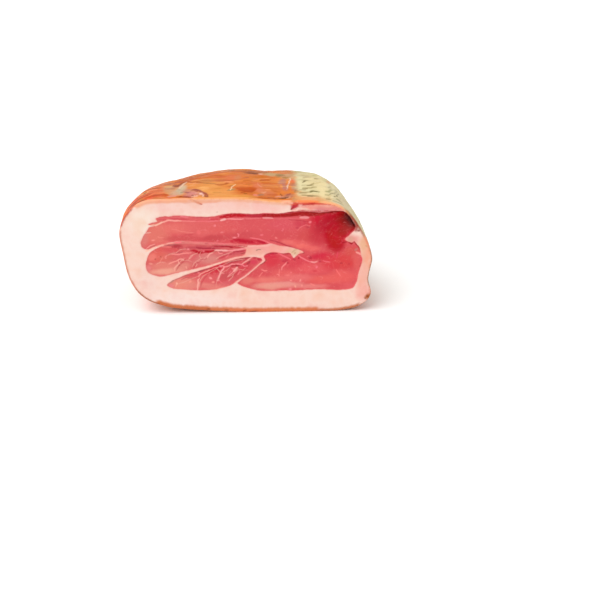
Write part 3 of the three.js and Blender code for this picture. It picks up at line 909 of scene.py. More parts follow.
FAT_MARKS: tuple[Patch | Stroke, ...] = marks(
    # Broad areas.
    ("#FBDACB", 0.8, (-100.2, 65.5), (13.7, 45.2)),
    ("#F9E0CE", 0.7, (-96.2, 93.4), (9.8, 11.9)),
    ("#FBDDD2", 0.8, (-54.5, 11.7), (44.1, 8.3)),
    ("#F8D8CE", 0.7, (-91.9, 34.9), (11.8, 14.3)),
    ("#FBD0C4", 0.8, (-37.7, 108.4), (39.2, 5.9)),
    ("#FACABE", 0.8, (4.4, 108.8), (29.4, 5.9)),
    ("#FBC6BC", 0.8, (21.3, 106.6), (13.7, 4.9)),
    ("#F8CABB", 0.8, (32.6, 109.5), (11.8, 3)),
    ("#FBD2C8", 0.6, (-75.1, 107.9), (15.7, 3.9)),
    ("#F6A29A", 0.95, (15.3, 64.9), (21.6, 6)),
    ("#FBB0A6", 0.9, (34.3, 63.6), (11.8, 3.6)),
    ("#F4B2A0", 0.8, (9.5, 60.9), (8.8, 3)),
    ("#EEBEA0", 0.9, (44.7, 61.4), (6.9, 3.4)),
    ("#E6BE9C", 0.6, (46.6, 61), (3.5, 2.6)),
    ("#F8AFA2", 0.7, (-5.7, 56.1), (11.8, 2), 22),
    ("#FFC8B6", 0.6, (-32.5, 48.8), (19.6, 2.2), 17),
    ("#EE9A90", 0.9, (100.8, 72.7), (7.8, 5)),
    ("#DCA890", 0.7, (99.5, 73.2), (2.9, 2), 30),
    ("#F3B498", 0.95, (114.5, 54.4), (5.3, 22.4)),
    ("#FAB094", 0.8, (116, 56.4), (2, 11.2)),
    ("#EEB48C", 0.8, (112.3, 69.6), (3.9, 9.1), -20),
    ("#F8B9A8", 0.9, (112, 33.9), (5.9, 14.4)),
    ("#F8B4A6", 0.8, (111.3, 19.5), (6.9, 8.3)),
    ("#F49A90", 0.95, (62.7, 105.7), (12.7, 2.8), -4),
    ("#DE7C7E", 0.9, (79.6, 104.5), (8.8, 2.4), -8),
    ("#D4606A", 0.7, (72.1, 103), (5.9, 1.2), -4),
    # Blushes beside the lean, the seams' edges, and the torn strip at the top right.
    ("#FFC6AE", 1.08, 0.95, (-94.9, 64), (-89, 67.1), (-85.1, 68.6)),
    ("#FFB49E", 0.79, 0.95, (-86.1, 68.3), (-80.3, 69.5), (-74.9, 71.2)),
    ("#DC6464", 1.91, 0.95, (-77, 70), (-64, 72), (-51, 72), (-34, 71), (-26, 70)),
    ("#FFA090", 0.75, 0.95, (-77.8, 70.3), (-73, 71.5), (-68.1, 72)),
    ("#FF7884", 1, 0.95, (-68.1, 71.9), (-60.4, 72.3)),
    ("#F47A7C", 0.6, 0.95, (-61.4, 72.2), (-50.8, 72.4), (-26.3, 70.8)),
    ("#D0505A", 1.91, 0.95, (-38, 71), (-29, 71), (-4, 69), (1, 68)),
    ("#F4727C", 0.6, 0.95, (-37.1, 71.6), (0.4, 68.9)),
    ("#C02C40", 0.6, 0.8, (-29.2, 69.2), (-1.3, 67.9)),
    ("#A87868", 0.45, 0.85, (9.4, 62.8), (10.6, 63.8), (13, 64.1), (14.8, 63.3)),
    ("#FFBCB0", 0.81, 0.7, (1.4, 67.6), (20.7, 67.9)),
    ("#FFC0AE", 0.91, 0.8, (10.6, 58.9), (14.6, 57.4), (17.3, 59.5)),
    ("#FF9C90", 0.71, 0.8, (50, 60.4), (52.7, 61.5), (55.3, 59.7)),
    ("#C8A078", 0.6, 0.7, (43.3, 60.5), (46, 63.3), (49.3, 64.4)),
    ("#B89068", 0.48, 0.7, (46.3, 59.1), (47.3, 61.2)),
    ("#FFA8A0", 0.79, 0.95, (-6.2, 33.7), (10.6, 48.7), (15.5, 52.2)),
    ("#FFB0A8", 0.8, 0.95, (15, 51.9), (17.4, 53.8), (19.6, 54.8)),
    ("#FFACA6", 0.81, 0.9, (13.3, 56.4), (19.4, 54.7)),
    ("#FFBEB0", 1.41, 0.7, (-11.1, 30.8), (-5.7, 34.2)),
    ("#FFB4A8", 1.21, 0.8, (-23.4, 51.1), (0, 59.4)),
    # Painted shadow: a red line under the rind's lifted edge at the top right, and its run to the right.
    ("#C82428", 0.99, 0.95, (53.1, 108.4), (64.2, 109.2), (68.1, 110)),
    ("#C04444", 0.54, 0.9, (69, 110.6), (73.8, 109.3), (83.4, 108.6)),
    ("#FF7450", 0.89, 0.9, (54.6, 110.3), (64.2, 111.9)),
    ("#FFBCA4", 0.49, 0.9, (65.4, 112.2), (84, 109.3), (93.1, 106.7)),
    # The painted shadow under the rind's lifted edge goes on to the right.
    ("#CE5A40", 0.68, 0.85, (80.5, 107.2), (96.1, 102.2)),
    ("#FFA088", 0.49, 0.8, (88.9, 106.2), (94.3, 104.8), (98.6, 101.7)),
    ("#B01420", 1.48, 1, (45, 107.9), (47.4, 108.6), (49.8, 108.6)),
    ("#A8121E", 1.07, 1, (48, 107.5), (42.4, 103.7)),
    # A painted highlight on the notch's upper edge.
    ("#D83C40", 0.59, 0.8, (45.1, 109.6), (48, 110.1), (50.4, 109.2)),
    ("#FFB8AC", 0.79, 0.7, (51, 102.9), (47.4, 103.3), (43.8, 103)),
    ("#F4A49A", 0.99, 0.7, (53.4, 106.7), (63, 106.7), (70.3, 106.2)),
    ("#E89088", 0.59, 0.7, (81.7, 105.7), (88.3, 103.4), (95.5, 101.7)),
    ("#C84850", 0.5, 0.7, (66.7, 102.1), (72.7, 101.6), (79.9, 101.9), (87.1, 103.1)),
    ("#C24A3A", 0.8, 0.95, (-54, 116.4), (-47.6, 113.4), (-41, 110)),
    ("#F89C80", 0.69, 0.7, (-44.4, 114.1), (-40.6, 113), (-37.3, 112.7)),
    ("#FF8C78", 1.05, 0.8, (-102.8, 108.4), (-96.4, 112.8)),
    ("#C8A898", 0.6, (-26.8, 102), (0.7, 0.5)),
    ("#C8A08C", 0.6, (-26.8, 102), (0.6, 0.4)),
    ("#C8A070", 0.58, 0.7, (113.1, 67.5), (115.5, 65.8), (117.2, 63.6)),
    ("#F4A090", 0.68, 0.7, (118, 24.7), (118.7, 15.8)),
    # The notch that opens the strip at the top right.
    ("#B8182A", 1, (46.6, 107.4), (3, 1.7), 14),
    # Right of the pocket the fat lies in its shade.
    ("#7A2018", 2.2, 0.95, (97.4, 99.6), (101.4, 94.8), (105, 89.2), (108, 84.4)),
    # The strip at the top right is redder, and so is the notch that opens it.
    ("#F2A490", 0.8, (74, 108), (24, 2.6), -8),
    ("#E88C84", 0.8, (84, 103.6), (16, 1.8), -6),
    ("#C04450", 0.9, 0.9, (50, 102.9), (62, 101.8), (74, 101.2), (86, 102.4)),
    # Painted shade on the fat right of the pocket.
    ("#A03028", 0.9, (104.6, 84.6), (2.4, 3.4)),
    ("#C82838", 0.95, (46.4, 107.2), (3.6, 2.6), 20),
    ("#F0B4A4", 0.7, (-60, 113), (40, 1.6)),
    # The fat is whiter low down and at the upper left.
    ("#FCE8E0", 0.7, (-60, 13), (40, 9)),
    ("#FCEBDE", 0.6, (-96, 92), (12, 12)),
    # The rind's own fat is redder along the top at the left; at the right the red line under the rind's
    # lifted edge is painted shadow.
    ("#F4A888", 1.5, 0.8, (-50, 114), (-44, 111.6), (-36, 112.6), (-22, 113.2)),
    ("#E4583C", 1, 0.8, (36, 110.4), (44, 108.6), (52, 109.6), (62, 109.4), (76, 108.4)),
)


@dataclass(frozen=True)
class RimBand:
    """A band of rind seen edge-on along the rim of the cut, between two places on the outline."""

    colour: str
    start: tuple[float, float]
    end: tuple[float, float]
    width: float
    strength: float = 1


RIM_BANDS: tuple[RimBand, ...] = (
    RimBand("#F5B79B", (-78, 6), (-110, 34), 2.2, 0.5),
    RimBand("#DC7C46", (72, -1), (-90, 11), 4.8, 0.95),
    RimBand("#C4683A", (-34, 1), (-88, 10), 4.2, 0.55),
    RimBand("#E47E50", (24, -1), (-20, 1), 4.6, 0.5),
    RimBand("#A4603C", (-82, 8), (-106, 30), 2, 0.85),
    RimBand("#CC7C60", (-102, 24), (-119, 88), 2, 0.8),
    RimBand("#B8402C", (-119, 86), (-104, 108), 1.7, 0.85),
    RimBand("#F6AC86", (-104, 106), (-50, 115), 3.8, 0.85),
    RimBand("#F4B492", (-54, 115), (46, 111), 3.4, 0.8),
    RimBand("#EFA45F", (-50, 115), (36, 112), 0.9, 0.8),
    RimBand("#F0804E", (46, 111), (72, 110), 1.2, 0.9),
    RimBand("#F4A878", (70, 110), (96, 102), 1.1, 0.85),
    RimBand("#D88A5C", (93, 104), (100, 97), 1.2, 0.9),
    RimBand("#A84A30", (99, 98), (112, 78), 0.8, 0.95),
    RimBand("#B87458", (108, 88), (118, 64), 1.3, 0.8),
    RimBand("#F49A78", (112, 78), (118, 42), 2.4, 0.8),
    RimBand("#E49A74", (118, 46), (119, 24), 1.1, 0.8),
    RimBand("#8A6450", (117, 66), (119, 24), 0.9, 0.8),
    RimBand("#B9642A", (121, 20), (117, 9), 4.2, 0.95),
    RimBand("#C8703C", (112, 7), (66, -1), 3.2, 0.9),
)

RIM_SPOTS: tuple[Patch | Stroke, ...] = marks(
    # Dark spots on the rind's edge.
    ("#8A3A1E", 0.9, (-36.7, 3.2), (2, 0.6)),
    ("#7A2A20", 0.9, (-20, 2.1), (2, 0.6)),
    ("#8A3A1C", 0.85, (-1.7, 1.9), (2.6, 0.5)),
    ("#7A3418", 0.9, (6.5, 1), (3.4, 0.6)),
    ("#9A4A20", 0.7, (-60, 3.6), (4, 0.6)),
    ("#8A2A20", 0.9, (107.4, 82.6), (0.9, 1.5), -50),
    ("#7A2418", 0.8, (106, 88.4), (0.8, 2), 20),
    ("#A8503C", 0.8, (118.6, 38), (0.7, 1.4)),
    ("#6A5040", 0.8, (118.8, 30), (0.7, 1.2)),
    ("#8A3A28", 0.8, (115, 13.6), (0.9, 1.2)),
    ("#8E3028", 0.8, (120, 13.4), (0.8, 1)),
    # The small lump at the lower right.
    ("#C06A20", 0.9, (118.6, 14.6), (3.6, 2.2)),
    ("#7A3A1C", 0.9, (116.4, 15.6), (0.8, 1)),
    # A red line of painted shadow runs under the rind's lifted edge at the top right, and dark spots follow
    # it.
    ("#D4342C", 0.9, (64, 109.2), (12, 1.2), 1),
    ("#E05A3C", 0.8, (84, 107.6), (8, 0.7), -16),
    ("#8A4A2C", 0.8, (94.6, 103.2), (1.4, 0.8), -40),
    ("#5A2A1C", 0.9, (103.6, 92.6), (1.4, 0.7), -56),
    ("#F0A084", 0.8, (107.6, 85.6), (1.6, 0.7), -50),
    ("#6A2A1C", 0.9, (110.6, 80.8), (1.6, 0.7), -50),
)


# Finishes.


def noise(
    tree: bpy.types.NodeTree,
    place: bpy.types.NodeSocket,
    size_mm: float,
    detail: float,
    roughness: float = 0.5,
    distortion: float = 0,
) -> bpy.types.Node:
    """Adds noise whose bumps have a real size.

    Args:
        tree: The material's node tree.
        place: The output that gives the place on the ham.
        size_mm: The size of the bumps.
        detail: How many finer layers it has.
        roughness: How strong those are.
        distortion: How much it is bent.

    Returns:
        The noise node.
    """
    settings = {"Scale": 1 / (size_mm * MM), "Detail": detail}
    settings |= {"Roughness": roughness, "Distortion": distortion}
    return add_node(tree, "ShaderNodeTexNoise", settings, {"Vector": place})


def grown(
    tree: bpy.types.NodeTree, value: bpy.types.NodeSocket, start: float, full: float, low: float, high: float
) -> bpy.types.NodeSocket:
    """Adds a map from one range to another.

    Args:
        tree: The material's node tree.
        value: The output to map.
        start: The value that becomes low.
        full: The value that becomes high.
        low: The result at the start.
        high: The result at the end.

    Returns:
        The mapped output.
    """
    settings = {"From Min": start, "From Max": full, "To Min": low, "To Max": high}
    return add_node(tree, "ShaderNodeMapRange", settings, {"Value": value}).outputs[0]


def mixed(
    tree: bpy.types.NodeTree,
    share: bpy.types.NodeSocket,
    under: bpy.types.NodeSocket,
    code: str,
    blend: str = "MIX",
) -> bpy.types.NodeSocket:
    """Adds a colour over another.

    Args:
        tree: The material's node tree.
        share: The output that gives how much is added.
        under: The output that gives the colour below.
        code: The sRGB hex value of the colour on top.
        blend: How the two are mixed.

    Returns:
        The mixed output.
    """
    settings = {"data_type": "RGBA", "blend_type": blend, 7: (*linear(code), 1)}
    return add_node(tree, "ShaderNodeMix", settings, {0: share, 6: under}).outputs[2]


@dataclass(frozen=True)
class Finish:
    """One of the ham's finishes: its gloss, its fine relief, and the steps that all of them share."""

    name: str
    roughness: tuple[float, float]
    ior: float
    specular: float
    bump_mm: float
    bump_strength: float

    def pattern(
        self, tree: bpy.types.NodeTree, tint: bpy.types.NodeSocket, place: bpy.types.NodeSocket
    ) -> tuple[bpy.types.NodeSocket, bpy.types.NodeSocket, bpy.types.NodeSocket]:
        """Adds the finish's own pattern.

        Args:
            tree: The material's node tree.
            tint: The output that gives the painted colour.
            place: The output that gives the place on the ham.

        Returns:
            The outputs for the colour, for where the gloss is duller, and for the relief.
        """
        raise NotImplementedError

    def material(self) -> bpy.types.Material:
        """Builds the material.

        Returns:
            The new material.
        """
        material = bpy.data.materials.new(self.name)
        material.use_nodes = True
        tree = material.node_tree
        tint = add_node(tree, "ShaderNodeAttribute", {"attribute_name": TINT})
        place = add_node(tree, "ShaderNodeTexCoord")
        colour, dull, height = self.pattern(tree, tint.outputs["Color"], place.outputs["Object"])
        settings = {"Strength": self.bump_strength, "Distance": self.bump_mm * MM}
        bump = add_node(tree, "ShaderNodeBump", settings, {"Height": height})
        shader = tree.nodes["Principled BSDF"]
        tree.links.new(colour, shader.inputs["Base Color"])
        tree.links.new(grown(tree, dull, 0.3, 0.7, *self.roughness), shader.inputs["Roughness"])
        tree.links.new(bump.outputs[0], shader.inputs["Normal"])
        shader.inputs["IOR"].default_value = self.ior
        shader.inputs["Specular IOR Level"].default_value = self.specular
        return material


@dataclass(frozen=True)
class CuredLean(Finish):
    """Cured lean pork, sliced across with a long knife.

    The eye sees a moist, even rose with the ends of the fibres as a very fine mottle, faint pale threads, and
    a low, soft gloss.
    """

    name: str = "cured_lean_knife_cut"
    roughness: tuple[float, float] = (0.36, 0.52)
    ior: float = 1.42
    specular: float = 0.2
    bump_mm: float = 0.12
    bump_strength: float = 0.35
    fibre_mm: float = 1.3
    thread_mm: float = 9.0
    thread_colour: str = "#F3A097"
    dark_colour: str = "#B52C3C"

    def pattern(
        self, tree: bpy.types.NodeTree, tint: bpy.types.NodeSocket, place: bpy.types.NodeSocket
    ) -> tuple[bpy.types.NodeSocket, bpy.types.NodeSocket, bpy.types.NodeSocket]:
        """Adds the ends of the fibres and the pale threads; takes and gives what Finish.pattern says."""
        fibre = noise(tree, place, self.fibre_mm, 3, 0.6).outputs["Fac"]
        thread = noise(tree, place, self.thread_mm, 5, 0.55, 0.6).outputs["Fac"]
        # A narrow band of the noise's values is a net of thin winding lines.
        net = add_node(tree, "ShaderNodeMath", {"operation": "SUBTRACT", 1: 0.5}, {0: thread})
        near = add_node(tree, "ShaderNodeMath", {"operation": "ABSOLUTE"}, {0: net.outputs[0]})
        lines = grown(tree, near.outputs[0], 0, 0.012, 0.14, 0)
        darker = mixed(tree, grown(tree, fibre, 0.42, 0.2, 0, 0.22), tint, self.dark_colour)
        return mixed(tree, lines, darker, self.thread_colour), thread, fibre


@dataclass(frozen=True)
class CuredFat(Finish):
    """Firm cured back fat, sliced with a long knife.

    The eye sees a pale, waxy pink-cream with cloudy warmer and cooler areas, almost no grain, and a soft
    gloss.
    """

    name: str = "cured_fat_knife_cut"
    roughness: tuple[float, float] = (0.4, 0.52)
    ior: float = 1.45
    specular: float = 0.22
    bump_mm: float = 0.1
    bump_strength: float = 0.3
    cloud_mm: float = 14.0
    grain_mm: float = 1.6
    warm_colour: str = "#F9D2B4"
    pink_colour: str = "#F7C6BE"

    def pattern(
        self, tree: bpy.types.NodeTree, tint: bpy.types.NodeSocket, place: bpy.types.NodeSocket
    ) -> tuple[bpy.types.NodeSocket, bpy.types.NodeSocket, bpy.types.NodeSocket]:
        """Adds the warm and the pink clouds; takes and gives what Finish.pattern says."""
        cloud = noise(tree, place, self.cloud_mm, 4).outputs["Fac"]
        grain = noise(tree, place, self.grain_mm, 3).outputs["Fac"]
        colour = tint
        for full, code in ((0.75, self.warm_colour), (0.25, self.pink_colour)):
            colour = mixed(tree, grown(tree, cloud, 0.5, full, 0, 0.4), colour, code, "MULTIPLY")
        return colour, cloud, grain


@dataclass(frozen=True)
class SmokedRind(Finish):
    """Pig's skin, dry-salted, smoked and pressed in a mould.

    The eye sees amber and rust streaks that run round the ham as the mould's cloth left them, fine creases
    between them, and a leathery surface with a dull, slightly uneven gloss.
    """

    name: str = "smoked_pork_rind"
    roughness: tuple[float, float] = (0.36, 0.62)
    ior: float = 1.45
    specular: float = 0.05
    bump_mm: float = 0.45
    bump_strength: float = 0.5
    streak_mm: tuple[float, float] = (52.0, 5.2)
    crease_mm: tuple[float, float] = (17.0, 1.8)
    blotch_mm: float = 13.0
    pore_mm: float = 1.1
    cell_mm: float = 3.0
    cell_bend_mm: float = 4.0
    pore_relief: float = 0.35
    rust_colour: str = "#C25A24"
    amber_colour: str = "#F6B45E"
    brown_colour: str = "#8E4A22"

    def stretched(
        self,
        tree: bpy.types.NodeTree,
        place: bpy.types.NodeSocket,
        size: tuple[float, float],
        detail: float,
    ) -> bpy.types.NodeSocket:
        """Adds noise that is long round the ham and short from front to back.

        Args:
            tree: The material's node tree.
            place: The output that gives the place on the ham.
            size: The pattern's length and width.
            detail: How many finer layers it has.

        Returns:
            The noise's output.
        """
        long, short = (1 / (part * MM) for part in size)
        scaled = add_node(tree, "ShaderNodeMapping", {"Scale": (long, short, long)}, {"Vector": place})
        return noise(tree, scaled.outputs[0], 1 / MM, detail, 0.55, 0.35).outputs["Fac"]

    def pattern(
        self, tree: bpy.types.NodeTree, tint: bpy.types.NodeSocket, place: bpy.types.NodeSocket
    ) -> tuple[bpy.types.NodeSocket, bpy.types.NodeSocket, bpy.types.NodeSocket]:
        """Adds streaks, creases, blotches, pores and cells; takes and gives what Finish.pattern says."""
        smoked = add_node(tree, "ShaderNodeAttribute", {"attribute_name": SMOKED})
        streaks = self.stretched(tree, place, self.streak_mm, 4)
        creases = self.stretched(tree, place, self.crease_mm, 3)
        blotches = noise(tree, place, self.blotch_mm, 5, 0.6)
        blotch = blotches.outputs["Fac"]
        pores = noise(tree, place, self.pore_mm, 2).outputs["Fac"]
        # The edges between a hide's fine cells, bent by noise so that no cell is round.
        bent = add_node(
            tree,
            "ShaderNodeVectorMath",
            {"operation": "MULTIPLY_ADD", 1: (self.cell_bend_mm * MM,) * 3},
            {0: blotches.outputs["Color"], 2: place},
        )
        cells = add_node(
            tree,
            "ShaderNodeTexVoronoi",
            {"feature": "DISTANCE_TO_EDGE", "Scale": 1 / (self.cell_mm * MM)},
            {"Vector": bent.outputs[0]},
        ).outputs["Distance"]
        colour = tint
        # Each step: which noise, between which of its values it grows, its greatest share, and its colour.
        for value, start, full, share, code, streaked in (
            (streaks, 0.46, 0.3, 0.55, self.rust_colour, True),
            (streaks, 0.56, 0.7, 0.5, self.amber_colour, True),
            # The creases get brown in their low parts, painted shade, and amber on their high parts, painted
            # light.
            (creases, 0.42, 0.26, 0.4, self.brown_colour, True),
            (creases, 0.6, 0.75, 0.25, self.amber_colour, True),
            (blotch, 0.42, 0.24, 0.25, self.brown_colour, False),
            (pores, 0.36, 0.22, 0.25, self.brown_colour, False),
            (cells, 0.05, 0.0, 0.1, self.brown_colour, False),
        ):
            factor = grown(tree, value, start, full, 0, share)
            if streaked:
                links = {0: factor, 1: smoked.outputs["Fac"]}
                factor = add_node(tree, "ShaderNodeMath", {"operation": "MULTIPLY"}, links).outputs[0]
            colour = mixed(tree, factor, colour, code)
        settings = {"operation": "MULTIPLY_ADD", 1: self.pore_relief}
        height = add_node(tree, "ShaderNodeMath", settings, {0: pores, 2: creases})
        return colour, blotch, height.outputs[0]


# The cut face.


@dataclass(frozen=True)
class Hollow:
    """The pocket that the bone left: it slopes in gently from the left and ends at a steep wall."""

    middle: tuple[float, float] = (93, 91)
    half: tuple[float, float] = (30, 15)
    turn_deg: float = 18
    depth: float = 9
    ease: float = 1.7
    wall: float = 2.4

    def sink(self, places: np.ndarray, within: np.ndarray) -> np.ndarray:
        """How deep the pocket is.

        Args:
            places: One (x, height) row for each point of the cut.
            within: How far each point lies inside the main muscle's outline.

        Returns:
            The depth at each point.
        """
        turn = math.radians(self.turn_deg)
        away = places - self.middle
        along = (away[:, 0] * math.cos(turn) + away[:, 1] * math.sin(turn)) / self.half[0]
        across = (away[:, 1] * math.cos(turn) - away[:, 0] * math.sin(turn)) / self.half[1]
        bowl = np.clip(1 - along**2 - across**2, 0, 1)
        return self.depth * bowl**self.ease * smoothstep(within, 0, self.wall)


@dataclass(frozen=True)
class Groove:
    """A crack or tear in the cut: a line with its half width and depth."""

    line: Places
    half_width: float
    depth: float


GROOVES: tuple[Groove, ...] = (
    Groove(((-53, 116), (-46.6, 112.6), (-41.4, 110)), 0.9, 0.9),
    Groove(((43.4, 104.4), (46.4, 107.2), (50, 108.6)), 1.6, 0.8),
    Groove(((54, 107.4), (66.4, 109.2), (81, 106.8)), 1.2, 0.9),
    Groove(((9.8, 63.2), (13.6, 64.2), (18.8, 63.2)), 0.9, 0.5),
)


@dataclass
class CutFace:
    """The cut, as one set of triangles that the coat of fat and the muscles share along their edges."""

    form: HamForm
    hollow: Hollow = field(default_factory=Hollow)
    rim_radius: float = 1.2
    rim_wander: float = 0.35
    loop_wander: float = 0.34
    skin_spacing: float = 2.3
    wrinkled_spacing: float = 1.05
    wrinkled_from: tuple[float, float] = (-114, 98)
    wrinkled_to: tuple[float, float] = (118, 26)
    loop_spacing: float = 0.75
    fat_spacing: float = 1.0
    lean_spacing: float = 0.5
    lean_sink: float = 0.35
    wave_height: float = 0.35
    ripple_height: float = 0.07
    fat_blush: float = 0.42
    lean_blush: float = 0.45
    blush_reach: float = 1.1
    band_unevenness: float = 0.22
    band_fade: float = 0.008
    band_ripples: float = 190

    def __post_init__(self) -> None:
        """Draws the outlines and fills them with triangles."""
        self.outline = self.skin_outline()
        self.loops = {lean: self.lean_loop(lean, number) for number, lean in enumerate(Lean)}
        self.fill()

    def skin_outline(self) -> np.ndarray:
        """The rim of the rind, with its points closer together along the top and the wrinkled end.

        Returns:
            One (x, height) row for each point.
        """
        fine = smooth_loop(FACE_OUTLINE, 0.25)
        ahead = np.roll(fine, -1, axis=0) - np.roll(fine, 1, axis=0)
        outwards = np.column_stack([-ahead[:, 1], ahead[:, 0]]) / np.linalg.norm(ahead, axis=1)[:, None]
        fine = fine + self.rim_wander * outwards * layered_noise(fine / 9, Seed.RIM_EDGE)[:, None]
        fine[:, 1] = np.maximum(fine[:, 1], 0)
        ends = [
            int(np.argmin(np.linalg.norm(fine - place, axis=1)))
            for place in (self.wrinkled_from, self.wrinkled_to)
        ]
        plain = np.vstack([fine[ends[1] :], fine[: ends[0] + 1]])
        wrinkled = fine[ends[0] : ends[1] + 1]
        return np.vstack(
            [
                evenly_spaced(plain, self.skin_spacing)[:-1],
                evenly_spaced(wrinkled, self.wrinkled_spacing)[:-1],
            ]
        )

    def lean_loop(self, lean: Lean, number: int) -> np.ndarray:
        """The outline of a muscle, slightly uneven as a grown edge is.

        Args:
            lean: Which muscle.
            number: Picks its noise.

        Returns:
            One (x, height) row for each point.
        """
        loop = smooth_loop(LEAN_OUTLINES[lean], self.loop_spacing)
        seed = Seed.LEAN_EDGE + 9 * number
        shift = np.column_stack([layered_noise(loop / 2.6, seed + axis) for axis in (0, 1)])
        return loop + self.loop_wander * shift

    def scattered(self, spacing: float, seed: int) -> np.ndarray:
        """Points in staggered rows over the whole cut, each moved a little.

        Args:
            spacing: The distance between neighbours.
            seed: Picks the moves.

        Returns:
            One (x, height) row for each point.
        """
        low, high = self.outline.min(axis=0), self.outline.max(axis=0)
        rows = np.arange(low[1], high[1], spacing * math.sqrt(3) / 2)
        columns = np.arange(low[0], high[0], spacing)
        grid = np.array(
            [(x + (row % 2) * spacing / 2, height) for row, height in enumerate(rows) for x in columns]
        )
        return grid + np.random.default_rng(seed).uniform(-0.16, 0.16, grid.shape) * spacing

    def fill(self) -> None:
        """Fills the cut with triangles and sorts them by what they belong to."""
        borders = [self.outline, *self.loops.values()]
        kept = []
        for spacing, seed, of_lean in ((self.fat_spacing, 5, False), (self.lean_spacing, 6, True)):
            points = self.scattered(spacing, seed)
            points = points[inside(points, self.outline)]
            in_lean = np.zeros(len(points), bool)
            for loop in self.loops.values():
                in_lean |= inside(points, loop)
            points = points[in_lean == of_lean]
            for border in borders:
                points = points[loop_distance(points, border)[0] > 0.55 * spacing]
            kept.append(points)
        corners = np.vstack([*borders, *kept])
        rings, start = [], 0
        for border in borders:
            rings.append(list(range(start, start + len(border))))
            start += len(border)
        turned = [ring[::-1] for ring in rings]
        points, _, faces, sources, _, owners = delaunay_2d_cdt(
            [Vector(corner) for corner in corners], [], turned, 1, 1e-7
        )
        self.places = np.array([tuple(point) for point in points])
        new_index = {old: new for new, olds in enumerate(sources) for old in olds}
        self.rings = [[new_index[old] for old in ring] for ring in rings]
        self.triangles: dict[Lean | None, list[tuple[int, ...]]] = {None: []}
        self.triangles.update({lean: [] for lean in Lean})
        members = list(Lean)
        for face, owner in zip(faces, owners):
            muscles = [members[index - 1] for index in owner if index > 0]
            self.triangles[muscles[0] if muscles else None].append(tuple(face))
        self.measure()

    def measure(self) -> None:
        """Works out how far every point lies from the rim and the muscles' edges, and how deep it is sunk."""
        self.rim_gap, self.rim_share = loop_distance(self.places, self.outline)
        self.lean_gap = np.full(len(self.places), np.inf)
        within = np.zeros(len(self.places))
        sunk = np.zeros(len(self.places))
        for lean, loop in self.loops.items():
            gap, _ = loop_distance(self.places, loop)
            ring = set(self.rings[1 + list(Lean).index(lean)])
            held = inside(self.places, loop)
            held[list(ring)] = False
            self.lean_gap = np.minimum(self.lean_gap, gap)
            sunk += np.where(held, self.lean_sink * smoothstep(gap, 0, 1.4), 0)
            if lean is Lean.MAIN:
                within = np.where(held, gap, 0)
        curved = np.clip(self.rim_radius - self.rim_gap, 0, self.rim_radius)
        sunk += self.rim_radius - np.sqrt(self.rim_radius**2 - curved**2)
        sunk += self.wave_height * (0.5 + 0.5 * layered_noise(self.places / 30, Seed.WAVES))
        sunk += self.ripple_height * (1 + layered_noise(self.places / 3, Seed.RIPPLES))
        sunk += self.hollow.sink(self.places, within)
        for groove in GROOVES:
            gap, along = line_distance(self.places, groove.line)
            ends = np.clip(np.minimum(along, 1 - along) / 0.2, 0.3, 1)
            sunk += groove.depth * (1 - smoothstep(gap / (groove.half_width * ends), 0.3, 1.2))
        sunk[self.rings[0]] = self.rim_radius
        self.sunk = sunk

    def points_m(self) -> np.ndarray:
        """The points of the cut in space, in metres."""
        return np.column_stack(
            [self.places[:, 0] * MM, FACE_Y_M + self.sunk * MM, self.places[:, 1] * MM]
        )

    def rim_station(self, place: tuple[float, float]) -> float:
        """How far round the outline a place is, from 0 to 1."""
        return float(loop_distance(np.array([place], float), self.outline)[1][0])

    def paint_rim(self, colours: np.ndarray, gaps: np.ndarray, stations: np.ndarray) -> None:
        """Lays the bands of rind along the rim.

        Args:
            colours: The colours to change, one row for each point.
            gaps: How far each point lies inside the rim.
            stations: How far round the outline each point is, from 0 to 1.
        """
        places = np.column_stack([stations * self.band_ripples, gaps * 0.1])
        uneven = 1 + self.band_unevenness * layered_noise(places, Seed.RIM_BANDS)
        for band in RIM_BANDS:
            start, end = self.rim_station(band.start), self.rim_station(band.end)
            run = (stations - start) % 1
            length = (end - start) % 1
            ends = smoothstep(np.minimum(run, length - run), 0, self.band_fade)
            share = band.strength * ends * (1 - smoothstep(gaps / (band.width * uneven), 0.6, 1.25))
            colours += (linear(band.colour) - colours) * share[:, None]

    def fat_colours(self) -> np.ndarray:
        """The colour of every point of the cut as fat.

        Returns:
            One linear red, green and blue row for each point.
        """
        paint = Paint(self.places, np.tile(linear(FAT_BASE), (len(self.places), 1)), Seed.FAT_PAINT)
        paint.lay(FAT_MARKS)
        blush = self.fat_blush * (1 - smoothstep(self.lean_gap, 0, self.blush_reach))
        paint.blend("#EE8E86", blush, np.arange(len(blush)))
        self.paint_rim(paint.colours, self.rim_gap, self.rim_share)
        for spot in RIM_SPOTS:
            paint.patch(spot)
        return paint.colours / LIGHT_LEVEL

    def lean_colours(self, lean: Lean, places: np.ndarray, gaps: np.ndarray) -> np.ndarray:
        """The colour of points of a muscle.

        Args:
            lean: Which muscle.
            places: One (x, height) row for each point.
            gaps: How far each point lies from the nearest edge.

        Returns:
            One linear red, green and blue row for each point.
        """
        paint = Paint(places, np.tile(linear(LEAN_BASES[lean]), (len(places), 1)), Seed.LEAN_PAINT)
        paint.lay(LEAN_MARKS[lean])
        paint.lay(flecks(lean, self.loops[lean]))
        edge = self.lean_blush * (1 - smoothstep(gaps, 0, self.blush_reach))
        bright = paint.colours.sum(axis=1)
        edge = edge * smoothstep(bright, 0.05, 0.5)
        paint.blend("#F0948C", edge, np.arange(len(edge)))
        return np.maximum(paint.colours / LIGHT_LEVEL - GLOSS_SHARE, DARKEST)


@dataclass(frozen=True)
class Marbling:
    """Fine flecks and threads of fat in a muscle: how many, how they lie, and how strongly they show."""

    count: int
    lie_deg: float
    spread_deg: float
    strength: tuple[float, float]


